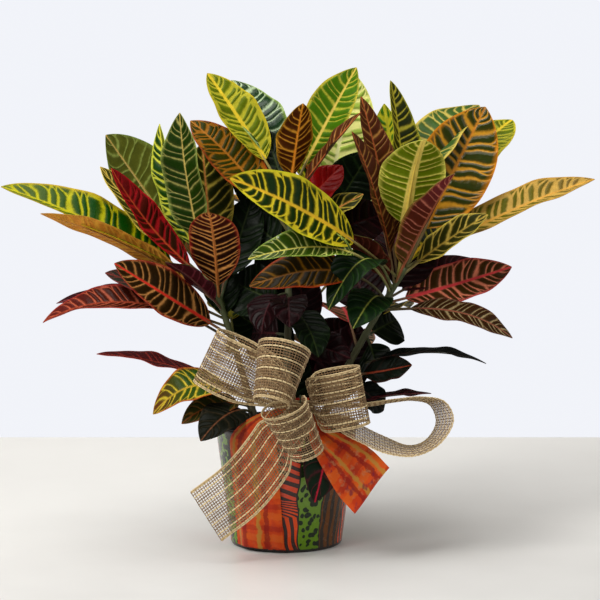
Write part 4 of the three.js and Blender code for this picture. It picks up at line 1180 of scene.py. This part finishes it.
# %% Threads
WARP_COUNT = 21
SELVEDGE = (1, 0.972, 0.944)
CREAM_HALF, SELVEDGE_HALF, TAN_HALF, WEFT_HALF = 0.8, 0.7, 0.52, 0.5
WEFT_STEP = 3.1
THREAD_SIDES = 6
FLATTENED = 0.55
OVER_UNDER = 0.3
MIDDLE_STEPS = 240


def warp_threads():
    """Place across, half width and colour of each long thread"""
    inner = SELVEDGE[-1]
    threads = [(side * place, SELVEDGE_HALF, CREAM.lerp(TAN, 0.2 + 0.5 * (i % 2)))
               for side in (-1, 1) for i, place in enumerate(SELVEDGE)]
    for i in range(1, WARP_COUNT - 1):
        tan = TAN if i % 2 else TAN.lerp(BROWN, 0.4)
        half, colour = (CREAM_HALF, CREAM) if i % 4 == 2 else (TAN_HALF, tan)
        threads.append((2 * inner * i / (WARP_COUNT - 1) - inner, half, colour))
    return threads


def thread(bm, layer, path, half, colour, chance):
    """A flattened rod along a path of points, each with its way across and the cloth's normal"""
    drift = chance.uniform(-0.12, 0.12)
    hue = colour.lerp(CREAM if drift > 0 else BROWN, abs(drift))

    def where(row, column):
        angle = 2 * math.pi * column / THREAD_SIDES
        centre, sideways, normal = path[row]
        return (centre + sideways * math.cos(angle) * half
                - normal * math.sin(angle) * half * FLATTENED)

    spots = grid(bm, len(path) - 1, THREAD_SIDES, where)
    for vert in spots:
        vert[layer] = (*hue, 1)
    close_rod(bm, spots)


def even_shares(place, step):
    """Shares of a ribbon's length that stand evenly along its middle"""
    far = distances([place(i / MIDDLE_STEPS, 0) for i in range(MIDDLE_STEPS + 1)])
    rows = max(6, round(far[-1] / step))
    shares, spot = [], 0
    for i in range(rows + 1):
        goal = far[-1] * i / rows
        while spot < MIDDLE_STEPS - 1 and far[spot + 1] < goal:
            spot += 1
        share = (spot + (goal - far[spot]) / (far[spot + 1] - far[spot])) / MIDDLE_STEPS
        shares.append(min(1, max(0, share)))
    return shares, far[-1]


def crossing_places(place, shares, count):
    """For each share, points across the ribbon with their way across and their normal"""
    net = [[place(share, 2 * k / count - 1) for k in range(count + 1)] for share in shares]
    rows = []
    for i, line in enumerate(net):
        before, after = net[max(i - 1, 0)], net[min(i + 1, len(net) - 1)]
        row = []
        for k, point in enumerate(line):
            sideways = (line[min(k + 1, count)] - line[max(k - 1, 0)]).normalized()
            row.append((point, sideways, sideways.cross(after[k] - before[k]).normalized()))
        rows.append(row)
    return rows

# %% [markdown]
# The long threads take turns to lie above and below the cross threads. A closed loop leaves
# out its last cross thread, because the first one already lies there.

# %% Weave the loops and the tail
def weave(name, place, closed=False, steps=10, flat=None):
    """Weaves a ribbon's threads. place(share of length, across) gives the ribbon's surface."""
    chance = random.Random(name)
    shares, length = even_shares(place, WEFT_STEP)
    net = crossing_places(place, shares, steps)
    bm = bmesh.new()
    layer = bm.verts.layers.float_color.new("tone")
    for j, (across, half, colour) in enumerate(warp_threads()):
        at = (across + 1) / 2 * steps
        k = min(int(at), steps - 1)
        path = []
        for i, row in enumerate(net):
            (a, sideways, up), (b, _, other_up) = row[k], row[k + 1]
            normal = up.lerp(other_up, at - k).normalized()
            lift = normal * (OVER_UNDER if (i + j) % 2 else -OVER_UNDER)
            path.append((a.lerp(b, at - k) + lift, sideways, normal))
        thread(bm, layer, path, half, colour, chance)
    for i, row in enumerate(net[:-1] if closed else net):
        wobble = chance.uniform(-0.25, 0.25)
        path = []
        for k, (point, sideways, normal) in enumerate(row):
            ahead = normal.cross(sideways)
            path.append((point + ahead * (wobble * math.sin(k * 1.9 + i)), ahead, normal))
        thread(bm, layer, path, WEFT_HALF, TAN.lerp(BROWN, chance.uniform(0, 0.8)), chance)
    piece = finish_piece(name, bm, "woven_ribbon", [thread_paint])
    print(name, round(length), "mm long,", len(shares) - 1, "rows of cross threads")
    flat = flat or (RIBBON_WIDTH * MM, length * MM)


for name, ring in RINGS.items():
    weave("woven_loop_" + name, ring_place(ring), closed=True)
weave("woven_loop_open", line_place(OPEN_LOOP, OPEN_LOOP_ACROSS, 0.15, True))
weave("woven_tail", line_place(WOVEN_TAIL, WOVEN_TAIL_ACROSS))

# %% [markdown]
# ## The plaid cloth ribbon
# The second ribbon is a close cloth, printed in orange and red with two yellow stripes
# along it and softer bands across, blotched like a hand-dyed cloth. One tail hangs down the
# front of the pot in shallow folds, and the other flies out to the right.

# %% Plaid cloth
THREAD_WAVE = 2 * math.pi / 0.7
BLUR = 0.8


def cloth_paint(name, stained):
    material, shader, place = new_surface(name, Sheen_Weight=0.08, Specular_IOR_Level=0.15)
    u, v, _ = axes(from_node(place.tree, "ShaderNodeUVMap", "UV", uv_map="cloth"))
    across, along = u * 1000, v * 1000
    dye = grain(place, 42, 3, 0.6)
    smudge = grain(place, 130, 3, 0.6)
    bleed = (smudge - 0.5) * 9
    across_soft, along_soft = across + bleed, along + bleed
    colour = paint(soft_step(dye, 0.35, 0.7), "b83409", "d65212")
    # what it is measured along, its middle, half width, strength and dye
    bands = ((along_soft % 30, 21, 5, 0.5, "cc6218"), (along_soft % 30, 8, 3.5, 0.55, "8e1a10"),
             (across_soft, 15, 3, 0.75, "80100c"), (across_soft, -13, 3, 0.75, "80100c"),
             (across_soft, 24, 2.3, 0.85, "b08030"), (across_soft, -4, 2.3, 0.85, "b08030"))
    for value, middle, half, strength, dyed in bands:
        band = soft_step(abs(value - middle), half + BLUR, half - BLUR)
        colour = paint(band * strength, colour, dyed)
    colour = paint(soft_step(smudge, 0.52, 0.72) * stained, colour, "b0704a")
    streak = soft_step(grain(stretched(place, (1, 1, 0.5)), 75, 3, 0.7), 0.58, 0.68)
    colour = paint(streak * stained, colour, "6a1c30")
    threads = sums("SINE", along * THREAD_WAVE) * sums("SINE", across * THREAD_WAVE)
    dress(shader, colour, smudge * 0.2 + 0.5, bumps(threads, 0.06, 0.4))
    return material


plaid_paint = cloth_paint("plaid cloth", 0.15)
blotched_paint = cloth_paint("blotched plaid cloth", 0.75)

# %% [markdown]
# A piece of cloth is a closed sheet that lies on a surface, like a leaf. Two points close
# by give the slope of the surface, and so the direction in which it is thick.

# %% Cloth
CLOTH_THICKNESS = 0.5
NUDGE_ALONG, NUDGE_ACROSS = 0.005, 0.01


def cloth_piece(name, place, rows, columns, surface, length):
    bm = bmesh.new()
    bm.loops.layers.uv.new("cloth")
    layer = bm.loops.layers.uv["cloth"]

    def where(row, column, side):
        share, across = row / rows, column / columns * 2 - 1
        ahead = (place(min(1, share + NUDGE_ALONG), across)
                 - place(max(0, share - NUDGE_ALONG), across))
        sideways = place(share, across + NUDGE_ACROSS) - place(share, across - NUDGE_ACROSS)
        normal = sideways.cross(ahead).normalized()
        return place(share, across) + normal * side * CLOTH_THICKNESS / 2

    for spots in sheet(bm, rows, columns, where):
        for vert, (row, column) in spots.items():
            spot = ((column / columns - 0.5) * RIBBON_WIDTH * MM, row / rows * length * MM)
            for loop in vert.link_loops:
                loop[layer].uv = spot
    piece = finish_piece(name, bm, "plaid_ribbon", [surface])

# %% [markdown]
# The front tail follows the cover's wall just in front of its bead, and its top is drawn
# together to the knot. The right tail follows a line and opens from narrow pleats.

# %% Hang the plaid tails
FRONT_TOP, FRONT_END = 166, 5
OFF_THE_WALL = 2.6
FRONT_BEARING = -0.5


def front_tail_place(share, across):
    height = FRONT_TOP + (FRONT_END - FRONT_TOP) * share
    wall = cover_radius(min(height, COVER_HEIGHT)) + BEAD + OFF_THE_WALL
    bearing = FRONT_BEARING - across * RIBBON_WIDTH / 2 / wall
    open_share = eased(share, 0, 0.3)
    fold = (1.3 * math.sin(across * 4.2 + 0.6) + 0.9 * math.sin(across * 9 + share * 3)) * open_share
    wall += max(-1.6, fold)
    on_wall = Vector((wall * math.sin(bearing), -wall * math.cos(bearing), height))
    pinched = Vector((6 - across * RIBBON_WIDTH / 2 * PINCHED, -94, 172))
    return on_wall.lerp(pinched, (1 - open_share) ** 2)


right_tail_line = line_place(PLAID_TAIL, PLAID_TAIL_ACROSS, 0.86)


def right_tail_place(share, across):
    fold = 2.6 * math.sin(across * 2.6 + 0.4) * eased(share, 0.1, 0.6)
    pleats = 4 * math.cos(across * 7.5) * (1 - eased(share, 0.1, 0.85))
    return right_tail_line(share, across) + Vector((-0.35, -0.9, 0.2)) * (fold + pleats)


cloth_piece("plaid_front_tail", front_tail_place, 64, 36, plaid_paint, 186)
cloth_piece("plaid_right_tail", right_tail_place, 48, 28, blotched_paint, 128)

# %% [markdown]
# Where the wire holds them, both ribbons are gathered into short cores. The woven one is
# rolled round, and the plaid one behind it is pleated.

# %% Gather both ribbons at the wire
BEHIND_KNOT = Vector((0, 15.5, 0))


def core_place(middle, half_length, radius, pleats, depth):
    """The gathered middle of a ribbon: its width is pleated round a line along X"""
    def place(share, across):
        angle = math.pi * across
        out = radius + depth * math.cos(pleats * angle)
        reach = half_length * (2 * share - 1)
        return middle + Vector((reach, -math.cos(angle) * out, math.sin(angle) * out))
    return place


weave("woven_knot", core_place(KNOT, 14, 6.2, 0, 0), steps=24, flat=(0.064, 0.028))
cloth_piece("plaid_knot", core_place(KNOT + BEHIND_KNOT, 10, 5.6, 9, 1), 6, 108, plaid_paint, 20)
